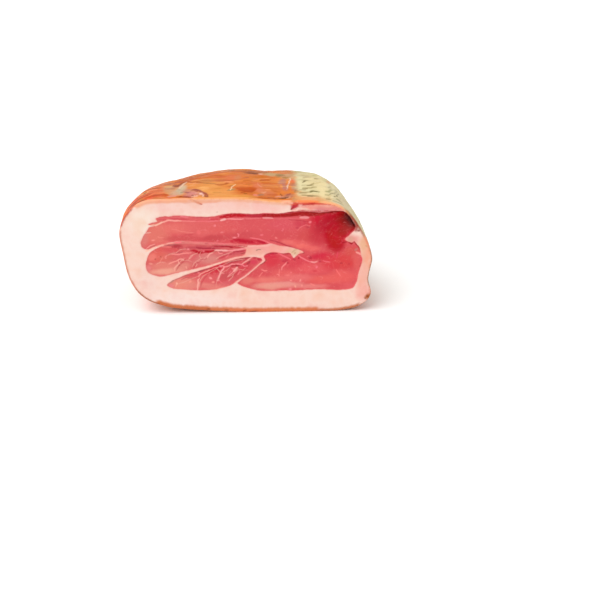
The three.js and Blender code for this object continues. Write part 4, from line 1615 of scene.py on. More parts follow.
MARBLINGS: dict[Lean, Marbling] = {
    Lean.MAIN: Marbling(90, 2, 45, (0.1, 0.4)),
    Lean.MIDDLE: Marbling(36, 18, 60, (0.1, 0.4)),
    Lean.LOWER: Marbling(30, 30, 50, (0.15, 0.45)),
}


def flecks(lean: Lean, loop: np.ndarray) -> tuple[Stroke, ...]:
    """Scatters a muscle's fine marbling.

    Args:
        lean: Which muscle.
        loop: Its outline.

    Returns:
        The flecks as short strokes.
    """
    marbling = MARBLINGS[lean]
    draw = np.random.default_rng(17 + list(Lean).index(lean))
    places = draw.uniform(loop.min(axis=0), loop.max(axis=0), (12 * marbling.count, 2))
    places = places[inside(places, loop)][: marbling.count]
    strokes = []
    for place in places:
        lie = math.radians(marbling.lie_deg + draw.uniform(-1, 1) * marbling.spread_deg)
        reach = draw.uniform(0.5, 2.6)
        bend = draw.uniform(-0.6, 0.6) * reach
        ahead, aside = np.array([math.cos(lie), math.sin(lie)]), np.array([-math.sin(lie), math.cos(lie)])
        line = (tuple(place - reach * ahead), tuple(place + bend * aside), tuple(place + reach * ahead))
        strokes.append(Stroke("#F48E88", draw.uniform(0.25, 0.45), line, draw.uniform(*marbling.strength)))
    return tuple(strokes)


# Meshes.


@dataclass
class Mesh:
    """A mesh as it grows: points in metres, faces, the finish of each face, and the tint of each point."""

    points: list[np.ndarray] = field(default_factory=list)
    tints: list[np.ndarray] = field(default_factory=list)
    smoked: list[np.ndarray] = field(default_factory=list)
    faces: list[tuple[int, ...]] = field(default_factory=list)
    finishes: list[int] = field(default_factory=list)
    count: int = 0

    def add_points(
        self, points: np.ndarray, tints: np.ndarray, smoked: np.ndarray | None = None
    ) -> np.ndarray:
        """Adds points.

        Args:
            points: One row for each point, in metres.
            tints: The linear colour of each.
            smoked: How strongly the smoke's streaks show on each.

        Returns:
            The numbers of the new points.
        """
        self.points.append(points)
        self.tints.append(tints)
        self.smoked.append(np.zeros(len(points)) if smoked is None else smoked)
        numbers = np.arange(self.count, self.count + len(points))
        self.count += len(points)
        return numbers

    def add_faces(self, faces: list[tuple[int, ...]], finish: int) -> None:
        """Adds faces with one finish."""
        self.faces.extend(faces)
        self.finishes.extend([finish] * len(faces))

    def add_wall(self, first: np.ndarray, second: np.ndarray, finish: int) -> None:
        """Adds a ring of four-sided faces between two closed rings of points.

        Args:
            first: The numbers of one ring's points.
            second: The numbers of the other's.
            finish: The finish of the faces.
        """
        ring = zip(first, np.roll(first, -1), np.roll(second, -1), second)
        self.add_faces([tuple(int(corner) for corner in corners) for corners in ring], finish)

    def add_room(self, ring: np.ndarray, rows: list[np.ndarray], colour: np.ndarray) -> None:
        """Runs a wall back from a ring of the cut, and closes its end.

        Args:
            ring: The numbers of the ring's points.
            rows: The points of each ring behind it.
            colour: The linear colour of the wall.
        """
        for row in rows:
            following = self.add_points(row, np.tile(colour, (len(row), 1)))
            self.add_wall(ring, following, 0)
            ring = following
        self.add_faces([tuple(int(corner) for corner in ring)], 0)

    def build(self, name: str, materials: list[bpy.types.Material]) -> bpy.types.Object:
        """Makes the object.

        Args:
            name: The object's name.
            materials: Its finishes, in the order of their numbers.

        Returns:
            The new object, in the scene.
        """
        mesh = bpy.data.meshes.new(name)
        mesh.from_pydata(np.vstack(self.points).tolist(), [], self.faces)
        for material in materials:
            mesh.materials.append(material)
        mesh.polygons.foreach_set("material_index", self.finishes)
        mesh.polygons.foreach_set("use_smooth", [True] * len(self.faces))
        tints = np.vstack(self.tints)
        tint = mesh.attributes.new(TINT, "FLOAT_COLOR", "POINT")
        tint.data.foreach_set("color", np.column_stack([tints, np.ones(len(tints))]).ravel())
        smoked = mesh.attributes.new(SMOKED, "FLOAT", "POINT")
        smoked.data.foreach_set("value", np.concatenate(self.smoked))
        shape = bmesh.new()
        shape.from_mesh(mesh)
        bmesh.ops.recalc_face_normals(shape, faces=shape.faces)
        shape.to_mesh(mesh)
        shape.free()
        mesh.set_sharp_from_angle(angle=math.radians(62))
        mesh.validate()
        piece = bpy.data.objects.new(name, mesh)
        bpy.context.scene.collection.objects.link(piece)
        return piece


@dataclass
class Muscle:
    """One muscle: its part of the cut, its side, and its hidden end inside the fat."""

    lean: Lean
    face: CutFace
    wall_rows: int = 4

    def ring_rows(self) -> list[np.ndarray]:
        """The rings of the muscle's side, from behind the cut to its end.

        Returns:
            One array of points in metres for each ring.
        """
        form, loop = self.face.form, self.face.places[self.face.rings[1 + list(Lean).index(self.lean)]]
        rows = []
        for step in range(1, self.wall_rows + 1):
            depth = form.lean_length * step / self.wall_rows
            x, height = form.lean(loop[:, 0], loop[:, 1], depth)
            rows.append(np.column_stack([x * MM, np.full(len(x), FACE_Y_M + depth * MM), height * MM]))
        return rows

    def build(self, material: bpy.types.Material) -> bpy.types.Object:
        """Builds the muscle as a closed piece.

        Args:
            material: The finish of the lean.

        Returns:
            The piece.
        """
        face = self.face
        triangles = np.array(face.triangles[self.lean])
        used, numbered = np.unique(triangles, return_inverse=True)
        mesh = Mesh()
        colours = face.lean_colours(self.lean, face.places[used], face.lean_gap[used])
        mesh.add_points(face.points_m()[used], colours)
        mesh.add_faces([tuple(corners) for corners in numbered.reshape(triangles.shape).tolist()], 0)
        ring = np.searchsorted(used, face.rings[1 + list(Lean).index(self.lean)])
        plain = linear(LEAN_BASES[self.lean])
        mesh.add_room(ring, self.ring_rows(), plain)
        return mesh.build(f"{self.lean.value}_cut", [material])


# The rind.


@dataclass(frozen=True)
class Crease:
    """A crease or a wrinkle's valley on the rind, in places of (distance round the outline, depth), with the
    colour and strength of the painted shade in it.
    """

    line: Places
    half_width: float
    depth: float
    colour: str
    strength: float


RIND_BASE = "#E8823F"

STAINS: tuple[tuple[float, int, str, float], ...] = (
    (19, 57, "#C9A583", 0.75),
    (13, 58, "#8E5034", 0.6),
    (8, 59, "#D8C09A", 0.6),
)

RIND_MARKS: tuple[Patch | Stroke, ...] = marks(
    # Broad areas, from the left shoulder to the pale end.
    ("#E4684A", 0.95, (-103, 10), (7, 22)),
    ("#E86E4A", 0.95, (-90, 14), (12, 16)),
    ("#E57A50", 0.85, (-84, 40), (9, 18)),
    ("#D48A6C", 0.8, (-83, 66), (8, 11)),
    ("#D8A078", 0.85, (-71, 35), (7, 17)),
    ("#DAAE90", 0.95, (-65, 19), (6, 7.1)),
    ("#CDBA9C", 0.9, (-61, 25), (4, 10)),
    ("#D8C4A4", 0.8, (-59, 37), (3, 9)),
    ("#B87A62", 0.8, (-73, 62), (6, 6.1)),
    ("#D88C88", 0.9, (-49, 15), (7, 8)),
    ("#CC8478", 0.7, (-53, 25), (6, 5.4)),
    ("#E8853E", 0.9, (-47, 85), (9, 12)),
    ("#CA824C", 0.9, (-38, 50), (8, 7.4)),
    ("#EE9F57", 0.95, (-37, 29), (12, 14)),
    ("#F2A45C", 0.95, (-24, 14), (15, 13)),
    ("#EFA054", 0.9, (-5, 5.1), (14, 4)),
    ("#FFB468", 0.7, (-40, 27), (5, 6.1)),
    ("#E4924C", 0.7, (-28, 24), (8, 2.6)),
    ("#E27A44", 0.9, (-29, 76), (14, 11)),
    ("#E88E48", 0.8, (-20, 74), (8, 5.8)),
    ("#DC7246", 0.9, (-23, 61), (9, 4.1)),
    ("#CC6E42", 0.9, (-22, 51), (8, 5.8)),
    ("#E47C50", 0.9, (-12, 54), (7, 11)),
    ("#D98A5C", 0.7, (-7, 53), (3, 8)),
    ("#E07C42", 0.85, (2, 37), (12, 7)),
    ("#D4662E", 0.85, (2, 23), (11, 7.9)),
    ("#DC8040", 0.85, (17, 58), (13, 6.3)),
    ("#E67C58", 0.85, (12, 31), (5, 10)),
    ("#E88C68", 0.8, (16, 21), (6, 6.4)),
    ("#E08450", 0.9, (25, 29), (10, 9)),
    ("#DC8058", 0.85, (22, 15), (7, 5.3)),
    ("#D07040", 0.85, (20, 5.2), (9, 3.2)),
    ("#8A4A44", 0.9, (5, 80), (2, 7.1)),
    ("#76362A", 0.95, (10, 74), (3, 6.7)),
    # A painted highlight beside the dark spot on the crest.
    ("#FFC4AC", 0.9, (15, 71), (2, 3.6)),
    ("#C8AC80", 0.9, (26, 70), (8, 7.4)),
    ("#A88A5C", 0.85, (35, 65), (4, 6.6)),
    ("#D4B08A", 0.85, (44, 61), (7, 10)),
    ("#B89068", 0.8, (39, 56), (3, 3.7)),
    ("#C48674", 0.95, (36, 42), (4, 10)),
    ("#C28074", 0.85, (38, 30), (3, 7.2)),
    ("#BC8870", 0.9, (48, 32), (4, 9)),
    ("#C0906C", 0.8, (51, 44), (2, 10)),
    ("#E87050", 0.95, (47, 46), (3, 4.5)),
    ("#B47A68", 0.8, (41, 11), (6, 4.4)),
    ("#D89468", 0.85, (47, 4.4), (4, 3.5)),
    ("#EE9862", 0.8, (57, 3.6), (7, 2.1)),
    # Smears and streaks of the left shoulder.
    ("#B8503A", 4.29, 0.85, (-110, 17), (-106, 13), (-103, 16)),
    ("#C87C48", 1.48, 0.85, (-101, 19), (-97, 8), (-94, 6.7)),
    ("#F2A46C", 5.77, 0.8, (-102, 37), (-98, 35), (-95, 39)),
    ("#84603C", 1.35, 0.8, (-97, 32), (-96, 37), (-94, 37)),
    ("#FF6E54", 2.19, 0.9, (-91, 4.8), (-90, 6.8), (-87, 8)),
    ("#D8562C", 3.29, 0.95, (-94, 9), (-88, 12), (-84, 16), (-79, 17), (-73, 15)),
    ("#C44424", 1.99, 0.85, (-87, 14), (-77, 18), (-73, 14)),
    ("#F6845A", 1.63, 0.85, (-91, 15), (-87, 22), (-76, 23)),
    ("#DE6038", 2.36, 0.85, (-92, 34), (-83, 33), (-78, 31)),
    ("#F6966E", 1.74, 0.8, (-96, 39), (-91, 41), (-84, 38)),
    ("#CE6A48", 1.99, 0.7, (-89, 47), (-79, 44)),
    ("#F0A482", 2.14, 0.7, (-95, 48), (-86, 50)),
    ("#D07C3C", 1.43, 0.8, (-87, 3.2), (-83, 7.1), (-74, 1.3), (-69, 0), (-64, 0)),
    ("#F88E64", 1.41, 0.7, (-82, 9), (-76, 7), (-71, 3.5)),
    ("#E06A44", 1, 0.7, (-76, 12), (-69, 3.2), (-66, 1)),
    ("#B07450", 1.94, 0.7, (-76, 36), (-71, 35), (-67, 32)),
    ("#E4B27C", 4.86, 0.8, (-78, 47), (-74, 47), (-69, 45)),
    # The flaked patch right of it, with its scratches.
    ("#A04A50", 2.85, 0.95, (-68, 62), (-66, 64), (-62, 60)),
    ("#9C5240", 3.65, 0.9, (-69, 52), (-65, 42), (-62, 46), (-58, 58)),
    ("#F4CCAC", 1.26, 0.9, (-63, 33), (-61, 43), (-56, 58)),
    ("#E8C8A8", 0.88, 0.7, (-64, 25), (-62, 33)),
    ("#8C8C78", 1.43, 0.7, (-64, 28), (-62, 28)),
    ("#948A70", 1.61, 0.8, (-61, 19), (-59, 20)),
    ("#B48C88", 1.35, 0.7, (-72, 18), (-69, 17)),
    ("#E8A094", 2.25, 0.75, (-73, 10), (-65, 11)),
    ("#C07070", 1.82, 0.8, (-59, 22), (-54, 18), (-51, 20)),
    ("#7E4C40", 0.82, 0.8, (-57, 19), (-53, 17)),
    ("#A85448", 2.34, 0.9, (-51, 23), (-48, 26), (-45, 19)),
    ("#C06878", 1.22, 0.7, (-58, 10), (-53, 7.4), (-50, 8)),
    ("#AC4028", 1.71, 0.95, (-65, 7), (-60, 7.4), (-55, 5), (-49, 3.8)),
    ("#943C28", 0.82, 0.8, (-61, 7.7), (-55, 7), (-51, 4.2)),
    ("#FFA472", 0.99, 0.9, (-64, 0.8), (-54, 0)),
    # Streaks of the amber middle.
    ("#F4A868", 1.57, 0.8, (-55, 38), (-52, 41), (-48, 38)),
    ("#E06C28", 4.56, 0.85, (-56, 80), (-50, 73), (-44, 60)),
    ("#F49448", 2.19, 0.8, (-53, 87), (-48, 86), (-44, 84)),
    ("#BC5630", 1.75, 0.95, (-56, 58), (-52, 52), (-43, 47)),
    ("#A86038", 1.17, 0.7, (-62, 52), (-58, 59)),
    ("#F0A074", 0.94, 0.7, (-55, 48), (-49, 45), (-43, 44)),
    ("#A04848", 1.8, 0.85, (-50, 26), (-46, 26), (-35, 7.2)),
    ("#6A3838", 0.6, 0.9, (-50, 10), (-48, 7.6), (-46, 8)),
    ("#845048", 0.47, 0.9, (-41, 10), (-41, 4.7)),
    ("#FFCCBE", 0.57, 0.95, (-50, 5.4), (-46, 9)),
    ("#FFC8B8", 1.43, 0.95, (-42, 10), (-42, 14), (-39, 8)),
    ("#FFD0C4", 0.75, 0.95, (-40, 4.7), (-39, 7.1)),
    ("#FFC0A8", 1.31, 0.9, (-48, 5.6), (-46, 5.9), (-45, 7.6)),
    ("#F0A8A0", 1.46, 0.8, (-47, 14), (-45, 15)),
    ("#8C4038", 1.22, 0.85, (-38, 7.1), (-36, 4.6), (-35, 7.2)),
    ("#B05628", 1.1, 0.85, (-53, 54), (-48, 49), (-43, 47), (-40, 44)),
    ("#D87030", 4.22, 0.85, (-54, 73), (-46, 76), (-39, 66), (-32, 65)),
    ("#F09848", 3.06, 0.8, (-53, 81), (-49, 83), (-48, 79)),
    ("#CC6828", 1.78, 0.85, (-37, 74), (-21, 65)),
    ("#EE9450", 2.68, 0.8, (-29, 77), (-23, 76), (-18, 72)),
    ("#E0642C", 7.25, 0.8, (-38, 92), (-32, 88), (-28, 76)),
    ("#BC6030", 1.94, 0.85, (-28, 36), (-24, 33), (-18, 36), (-16, 41)),
    ("#C8602F", 1.51, 0.85, (-22, 51), (-10, 44)),
    ("#F69866", 2, 0.9, (-20, 44), (-12, 40)),
    ("#A06A3C", 1.25, 0.7, (-40, 44), (-28, 38)),
    ("#D08A44", 1.01, 0.75, (-31, 15), (-23, 15)),
    ("#D48C48", 0.72, 0.7, (-29, 24), (-23, 23)),
    ("#FFBC74", 1.51, 0.7, (-45, 31), (-41, 32), (-35, 28)),
    ("#E49A4C", 1.01, 0.7, (-18, 2.7), (6, 2.1)),
    ("#E0883C", 0.81, 0.7, (-7, 6.5), (5, 5.4)),
    ("#B09464", 1.88, 0.85, (-16, 19), (-10, 22)),
    ("#FFE0B4", 0.56, 0.95, (-14, 20), (-13, 26), (-9, 35)),
    ("#B87C40", 1.2, 0.7, (-16, 30), (-14, 29), (-12, 32)),
    ("#CC5A26", 2.42, 0.95, (-8, 24), (4, 26), (11, 25)),
    ("#C45426", 2.63, 0.9, (-6, 20), (1, 19), (10, 22)),
    ("#B44E20", 1.02, 0.85, (-5, 13), (0, 16), (5, 16), (9, 19)),
    ("#8A5A20", 0.85, 0.85, (-2, 11), (2, 12)),
    ("#CE6C2C", 0.84, 0.8, (-1, 35), (7, 35)),
    ("#F68C4C", 1.4, 0.85, (-9, 29), (-4, 33), (7, 30)),
    ("#FF9C68", 0.68, 0.7, (-2, 38), (0, 37)),
    ("#CC6830", 1.44, 0.85, (-2, 43), (2, 45), (7, 45)),
    ("#BC6048", 1.47, 0.75, (-3, 51), (1, 53), (4, 56)),
    # Streaks right of the middle, and the spots beside the pale end.
    ("#D8762C", 2.66, 0.85, (8, 57), (15, 60), (24, 61)),
    ("#F4985C", 1.11, 0.8, (10, 47), (16, 54), (24, 56)),
    ("#C45C2C", 2.19, 0.7, (15, 46), (20, 51), (24, 48)),
    ("#C86C48", 2.47, 0.7, (18, 36), (21, 36), (24, 38)),
    ("#F4A080", 0.59, 0.7, (12, 40), (13, 33), (17, 28)),
    ("#FF9880", 1.78, 0.8, (8, 9), (10, 11), (12, 9)),
    ("#AC8068", 1.71, 0.8, (12, 10), (15, 12), (18, 12)),
    ("#CC6430", 2.05, 0.85, (12, 5.3), (23, 5.1)),
    ("#A85030", 0.84, 0.7, (17, 1.9), (22, 0)),
    ("#A87850", 3.53, 0.7, (-39, 102), (-32, 113), (-22, 108), (-10, 89), (1, 87)),
    ("#58322C", 2.05, 0.85, (4, 82), (7, 84), (11, 78)),
    ("#86866A", 16.65, 0.75, (20, 111), (25, 113), (30, 105)),
    ("#9C8052", 2.53, 0.8, (31, 69), (35, 64), (39, 64)),
    ("#A4743C", 1.83, 0.8, (37, 58), (40, 55), (43, 56)),
    ("#DCB48C", 5.59, 0.7, (41, 70), (48, 68), (54, 62)),
    ("#DC7430", 1.79, 0.8, (14, 63), (22, 64), (29, 57)),
    ("#F29C5C", 1.35, 0.85, (16, 34), (25, 35), (34, 38), (36, 31)),
    ("#D46C30", 2.77, 0.7, (16, 41), (24, 43), (31, 42)),
    ("#C86430", 2.07, 0.7, (15, 49), (25, 52)),
    ("#D87838", 1.28, 0.7, (17, 27), (25, 26), (34, 28)),
    ("#F09850", 0.92, 0.8, (24, 30), (32, 32)),
    ("#FFA878", 0.69, 0.8, (19, 23), (25, 23)),
    ("#C86838", 1.02, 0.7, (26, 22), (34, 20)),
    ("#D0683C", 2.17, 0.8, (21, 14), (27, 13), (31, 15)),
    ("#A85C44", 1.1, 0.85, (21, 7.5), (30, 6.8)),
    ("#F0A880", 1.11, 0.7, (15, 18), (17, 16), (20, 19)),
    ("#C86228", 1.21, 0.85, (13, 3.8), (20, 3.9), (25, 0.9), (31, 0)),
    ("#BC6C38", 0.7, 0.8, (32, 1), (37, 0.4), (42, 2.3)),
    ("#F6D2BA", 0.54, 0.95, (44, 53), (40, 26)),
    ("#7A5838", 0.79, 0.85, (48, 26), (56, 31)),
    ("#806040", 0.95, 0.8, (48, 22), (56, 24)),
    ("#8C6C48", 0.8, 0.75, (50, 32), (55, 35)),
    ("#98704C", 0.81, 0.7, (50, 40), (54, 43)),
    ("#9C7850", 1.17, 0.7, (46, 20), (49, 19), (52, 20)),
    ("#D0A080", 0.75, 0.7, (49, 30), (52, 31)),
    ("#784434", 0.55, 0.85, (33, 17), (35, 13)),
    ("#54443A", 0.8, 0.9, (31, 6.4), (35, 8), (38, 7.1), (41, 9)),
    ("#60483C", 0.6, 0.85, (35, 6), (38, 8), (39, 10)),
    ("#A45650", 1.05, 0.8, (39, 13), (43, 16)),
    ("#E8A490", 0.93, 0.8, (29, 10), (32, 11), (36, 10)),
    ("#E8A080", 0.66, 0.7, (43, 12), (42, 8), (39, 7)),
    ("#887058", 0.85, 0.75, (45, 6.2), (47, 6.7)),
    # Painted shade where the top turns away, and the left shoulder has dark red lines near its edge.
    ("#A8542C", 3.5, 0.75, (-62, 80), (-46, 84), (-24, 84), (0, 84), (12, 82)),
    ("#8A3E22", 1.6, 0.7, (-44, 88), (-20, 89), (4, 89), (16, 86)),
    ("#A64428", 2.2, 0.8, (-112, 12), (-106, 15), (-98, 17), (-90, 20)),
    ("#B8482C", 2, 0.8, (-110, 28), (-100, 27), (-88, 26)),
    ("#9C4A34", 2.4, 0.75, (-102, 48), (-92, 46), (-82, 44)),
    ("#7E3A2C", 1.2, 0.8, (-108, 5), (-100, 5), (-92, 4)),
    # Dark maroon spots and grey lines lie where the top turns away.
    ("#5E2A22", 0.9, (5.4, 77), (6.5, 6)),
    ("#8A4A30", 0.8, (14, 80), (8, 7)),
    ("#7E7458", 1.4, 0.7, (20, 94), (28, 92), (37, 90), (48, 86)),
    ("#9A9070", 1.2, 0.7, (34, 82), (44, 80), (54, 74)),
    ("#C8945E", 0.6, (50, 66), (10, 8)),
    ("#B8562E", 0.7, (-58, 66), (10, 12)),
    ("#A8482A", 1.6, 0.7, (-66, 72), (-56, 74), (-46, 70)),
)

# The pale end: cream and olive places, and the wrinkles that lie across them.
PALE_MARKS: tuple[Patch | Stroke, ...] = marks(
    # Cream and olive places. The creams at the right end hold painted light, lighter where the lamp from the
    # left leaves that side in shade.
    ("#F6E2AE", 0.9, (74, 33), (5, 16)),
    ("#F0DCA8", 0.8, (67, 47), (8, 22)),
    ("#F4E0AC", 0.7, (75, 17), (4, 7.8)),
    ("#D4C394", 0.8, (59, 62), (9, 5.5)),
    ("#C8C48C", 0.8, (68, 65), (2, 2.2)),
    ("#EADAAC", 0.85, (88, 21), (6, 25)),
    ("#E0D0A8", 0.8, (93, 19), (3, 23), -30),
    ("#EEDEB2", 0.8, (86, 37), (5, 5.2)),
    ("#E2B088", 0.8, (81, 50), (2, 5.8)),
    ("#8C7A60", 0.85, (86, 65), (1, 1.9)),
    ("#948C6A", 0.8, (78, 66), (1, 0.4)),
    ("#ECDCB4", 0.8, (91, 6.1), (5, 4.6)),
    # Wrinkles and dry lines. The dark strokes are sunk as valleys and painted dark as painted shade.
    ("#C0A880", 1.24, 0.7, (56, 53), (60, 56), (64, 56)),
    ("#80704A", 1.3, 0.8, (56, 41), (58, 45), (61, 47), (64, 45)),
    ("#A08C5C", 1.04, 0.8, (55, 34), (62, 34), (67, 40)),
    ("#8C7C4C", 1.18, 0.9, (59, 33), (62, 33), (66, 35)),
    ("#947E54", 1.03, 0.85, (55, 28), (61, 27)),
    ("#A08E60", 0.85, 0.8, (61, 27), (64, 29), (68, 29)),
    ("#9C845C", 1.04, 0.8, (52, 25), (59, 24)),
    ("#84784A", 1.56, 0.95, (61, 19), (65, 22), (71, 20)),
    ("#AC9064", 1.26, 0.8, (51, 18), (62, 19)),
    ("#988458", 0.97, 0.85, (52, 14), (72, 12)),
    ("#86704A", 1.17, 0.85, (59, 12), (66, 13)),
    ("#E6A074", 1.17, 0.85, (53, 7.5), (59, 9), (70, 8)),
    ("#F6D2A0", 0.81, 0.8, (53, 10), (67, 9)),
    ("#F0B080", 0.95, 0.8, (54, 4.6), (61, 6.3), (70, 5.9)),
    ("#B49C6C", 1.9, 0.8, (68, 53), (70, 55), (72, 54)),
    ("#CCB884", 0.63, 0.7, (67, 38), (71, 41), (75, 46)),
    ("#A8A06C", 1.13, 0.85, (76, 24), (80, 24), (85, 33)),
    ("#ACA274", 0.69, 0.8, (80, 32), (83, 38), (85, 36)),
    ("#A89A6C", 0.66, 0.8, (76, 16), (79, 16), (85, 23)),
    ("#887A58", 0.63, 0.9, (84, 16), (87, 17), (90, 29)),
    ("#9C9070", 0.85, 0.8, (81, 22), (86, 24), (89, 36)),
    ("#A09472", 1.04, 0.8, (86, 35), (89, 37), (91, 35)),
    ("#9C8860", 1.09, 0.85, (77, 9), (80, 9), (81, 7.5)),
    ("#A09874", 0.87, 0.8, (83, 12), (87, 13), (92, 12)),
    ("#A89C7C", 0.89, 0.7, (83, 6.9), (94, 8)),
    # Pale lines on the ridges between wrinkles: painted light.
    ("#FFF0C4", 0.91, 0.7, (81, 14), (86, 13)),
    ("#FFF0C4", 1.36, 0.7, (82, 19), (84, 18)),
    # Lighter patches at the right end: painted light where the lamp from the left leaves that side in shade.
    ("#F4E8C0", 0.6, (88, 36), (8, 12)),
    ("#F0DCB8", 0.6, (95, 16), (5, 8)),
    # The rind is brown where the cut's edge turns down at the right.
    ("#B8744E", 0.8, (103, 2), (8, 5)),
    ("#B06A48", 1.6, 0.8, (98, 2), (103, 3), (109, 4)),
)


@dataclass
class Wrinkles:
    """The fine wrinkles of the pale end: short valleys in staggered rows that follow the rim, each sunk and
    painted darker as painted shade.

    A place is (distance round the outline from where the pale end starts, depth).
    """

    reach: float = 150
    first_row: float = 5
    pitch: tuple[float, float] = (3.6, 6.4)
    length: tuple[float, float] = (7, 24)
    gap: tuple[float, float] = (2, 14)
    half_width: tuple[float, float] = (0.5, 1.15)
    depth: tuple[float, float] = (0.3, 0.85)
    steep_from: float = 34
    steep_full: float = 70
    steepness: float = 0.3
    # The strength and colours of the painted shade in the valleys.
    strength: tuple[float, float] = (0.2, 0.65)
    colours: tuple[str, ...] = ("#85754A", "#94825A", "#7A6A42", "#A08C60")
    seed: int = 3

    def valleys(self, last_row: float) -> list[Crease]:
        """Lays the valleys out.

        Args:
            last_row: The depth at which the rows end.

        Returns:
            The valleys.
        """
        draw = np.random.default_rng(self.seed)
        valleys = []
        row = self.first_row
        while row < last_row:
            start = draw.uniform(-3, 4)
            while start < self.reach:
                length = draw.uniform(*self.length)
                steep = float(smoothstep(np.array(start), self.steep_from, self.steep_full))
                slope = draw.uniform(-0.16, 0.16) + self.steepness * steep
                middle = row + draw.uniform(-2, 2)
                rise = slope * length
                line = tuple(
                    (start + share * length, middle + rise * (share - 0.5) + draw.uniform(-0.8, 0.8))
                    for share in (0, 0.25, 0.5, 0.75, 1)
                )
                valleys.append(
                    Crease(
                        line,
                        draw.uniform(*self.half_width),
                        draw.uniform(*self.depth),
                        self.colours[draw.integers(len(self.colours))],
                        draw.uniform(*self.strength),
                    )
                )
                start += length + draw.uniform(*self.gap)
            row += draw.uniform(*self.pitch)
        return valleys


@dataclass
class Coat:
    """The coat of fat with its rind: the pale part of the cut, the skin all round, and the muscles' rooms."""

    face: CutFace
    muscles: list[Muscle]
    wrinkles: Wrinkles = field(default_factory=Wrinkles)
    row_spacing: float = 1.5
    end_share: float = 0.99995
    pale_x: float = 49
    pale_height: float = 30
    lump: float = 0.2
    lump_mm: float = 11
    wrinkle_depth: float = 0.7
    scuff_height: float = 0.7
    cloth_height: float = 0.16
    gloss: float = 0.8
    streak_count: int = 700
    end_crease_count: int = 150
    streak_seed: int = 8
    streak_colours: tuple[str, ...] = (
        "#D8562C", "#C44424", "#F08A5A", "#F09848", "#E0642C", "#B05628", "#CC6828", "#FFB074", "#E6A05C",
        "#C88468", "#D8A884", "#A8543C",
    )

    def depths(self) -> np.ndarray:
        """The depths of the skin's rows, evenly spaced along the surface from the rim to the back end.

        Returns:
            The depths.
        """
        form = self.face.form
        fine = form.length * self.end_share * np.sin(np.linspace(0, np.pi / 2, 4000))
        run = np.zeros(len(fine))
        for x, height in ((-120.0, 70.0), (119.0, 55.0), (0.0, 115.0), (60.0, 110.0)):
            along, up = form.section(np.full(len(fine), x), np.full(len(fine), height), fine)
            steps = np.linalg.norm(np.diff(np.column_stack([along, up, fine]), axis=0), axis=1)
            run[1:] += np.cumsum(steps) / 4
        start = np.interp(self.face.rim_radius, fine, run)
        stations = np.linspace(start, run[-1], round((run[-1] - start) / self.row_spacing) + 1)
        return np.interp(stations, run, fine)

    def skin(self) -> tuple[np.ndarray, np.ndarray, np.ndarray]:
        """The points of the skin, with their colours.

        Returns:
            The points in metres, the linear colours, and how strongly the smoke's streaks show, each as an
            array of rows and columns.
        """
        form, outline = self.face.form, self.face.places[self.face.rings[0]]
        depths = self.depths()
        shape = (len(depths), len(outline))
        start_x = np.tile(outline[:, 0], shape[0])
        start_height = np.tile(outline[:, 1], shape[0])
        depth = np.repeat(depths, shape[1])
        x, height = form.section(start_x, start_height, depth)
        outwards = np.column_stack([x - form.axis_x, height - form.axis_height])
        outwards /= np.linalg.norm(outwards, axis=1)[:, None] + 1e-9
        steps = np.linalg.norm(np.diff(outline, axis=0, append=outline[:1]), axis=1)
        round_rim = np.concatenate([[0], np.cumsum(steps)[:-1]])
        pale_start = round_rim[int(np.argmin(np.linalg.norm(outline - (self.pale_x, 111.0), axis=1)))]
        along = np.tile(round_rim - pale_start, shape[0])
        relief = form.relief(x, height, depth)
        solid = np.column_stack([x, depth, height])
        pale = self.pale_share(x, height, solid)
        colours, smoked = self.colours(x, depth, height, solid, pale)
        colours = self.streaked(along, depth, height, pale, colours)
        fine, wrinkle_colours = self.wrinkled(along, x, depth, height, pale, colours)
        scuffed = self.scuffed(x, depth, height)
        lumps = self.lump * layered_noise(solid / self.lump_mm, Seed.LUMPS) * (1 - 0.5 * pale)
        rough = scuffed * self.scuff_height * layered_noise(solid / 3.2, Seed.SCUFFS)
        cloth = self.cloth_height * layered_noise(solid / (26, 3.4, 26), Seed.CLOTH) * (1 - pale)
        grown = smoothstep(depth, self.face.rim_radius, 9) * smoothstep(form.length - depth, 0, 8)
        relief = relief + grown * (lumps + rough + cloth - fine)
        x = x + outwards[:, 0] * relief
        height = np.maximum(height + outwards[:, 1] * relief, 0)
        points = np.column_stack([x * MM, FACE_Y_M + depth * MM, height * MM])
        smoked = smoked * (1 - 0.7 * scuffed)
        return points.reshape(*shape, 3), wrinkle_colours.reshape(*shape, 3), smoked.reshape(shape)

    def pale_share(self, x: np.ndarray, height: np.ndarray, solid: np.ndarray) -> np.ndarray:
        """Where the rind is pale and wrinkled.

        Args:
            x: Across the ham.
            height: Above the table.
            solid: The same places as (x, depth, height) rows.

        Returns:
            1 where it is fully pale, 0 where it is smoked orange.
        """
        ragged = layered_noise(solid / (9, 7, 14), Seed.PALE_EDGE)
        side = smoothstep(x + 5 * ragged, self.pale_x - 4, self.pale_x + 4)
        uneven = height + 9 * layered_noise(solid / 16, Seed.PALE_LOW)
        low = smoothstep(uneven, self.pale_height - 10, self.pale_height + 12)
        return side * low

    def scuffed(self, x: np.ndarray, depth: np.ndarray, height: np.ndarray) -> np.ndarray:
        """Where the rind is scuffed and flaky, from 0 to 1."""
        first = 1 - smoothstep(np.hypot((x + 67) / 16, (depth - 34) / 30), 0.5, 1.1)
        second = 1 - smoothstep(np.hypot((x + 47) / 15, (depth - 13) / 14), 0.5, 1.1)
        return np.maximum(first, second) * smoothstep(height, 70, 90)

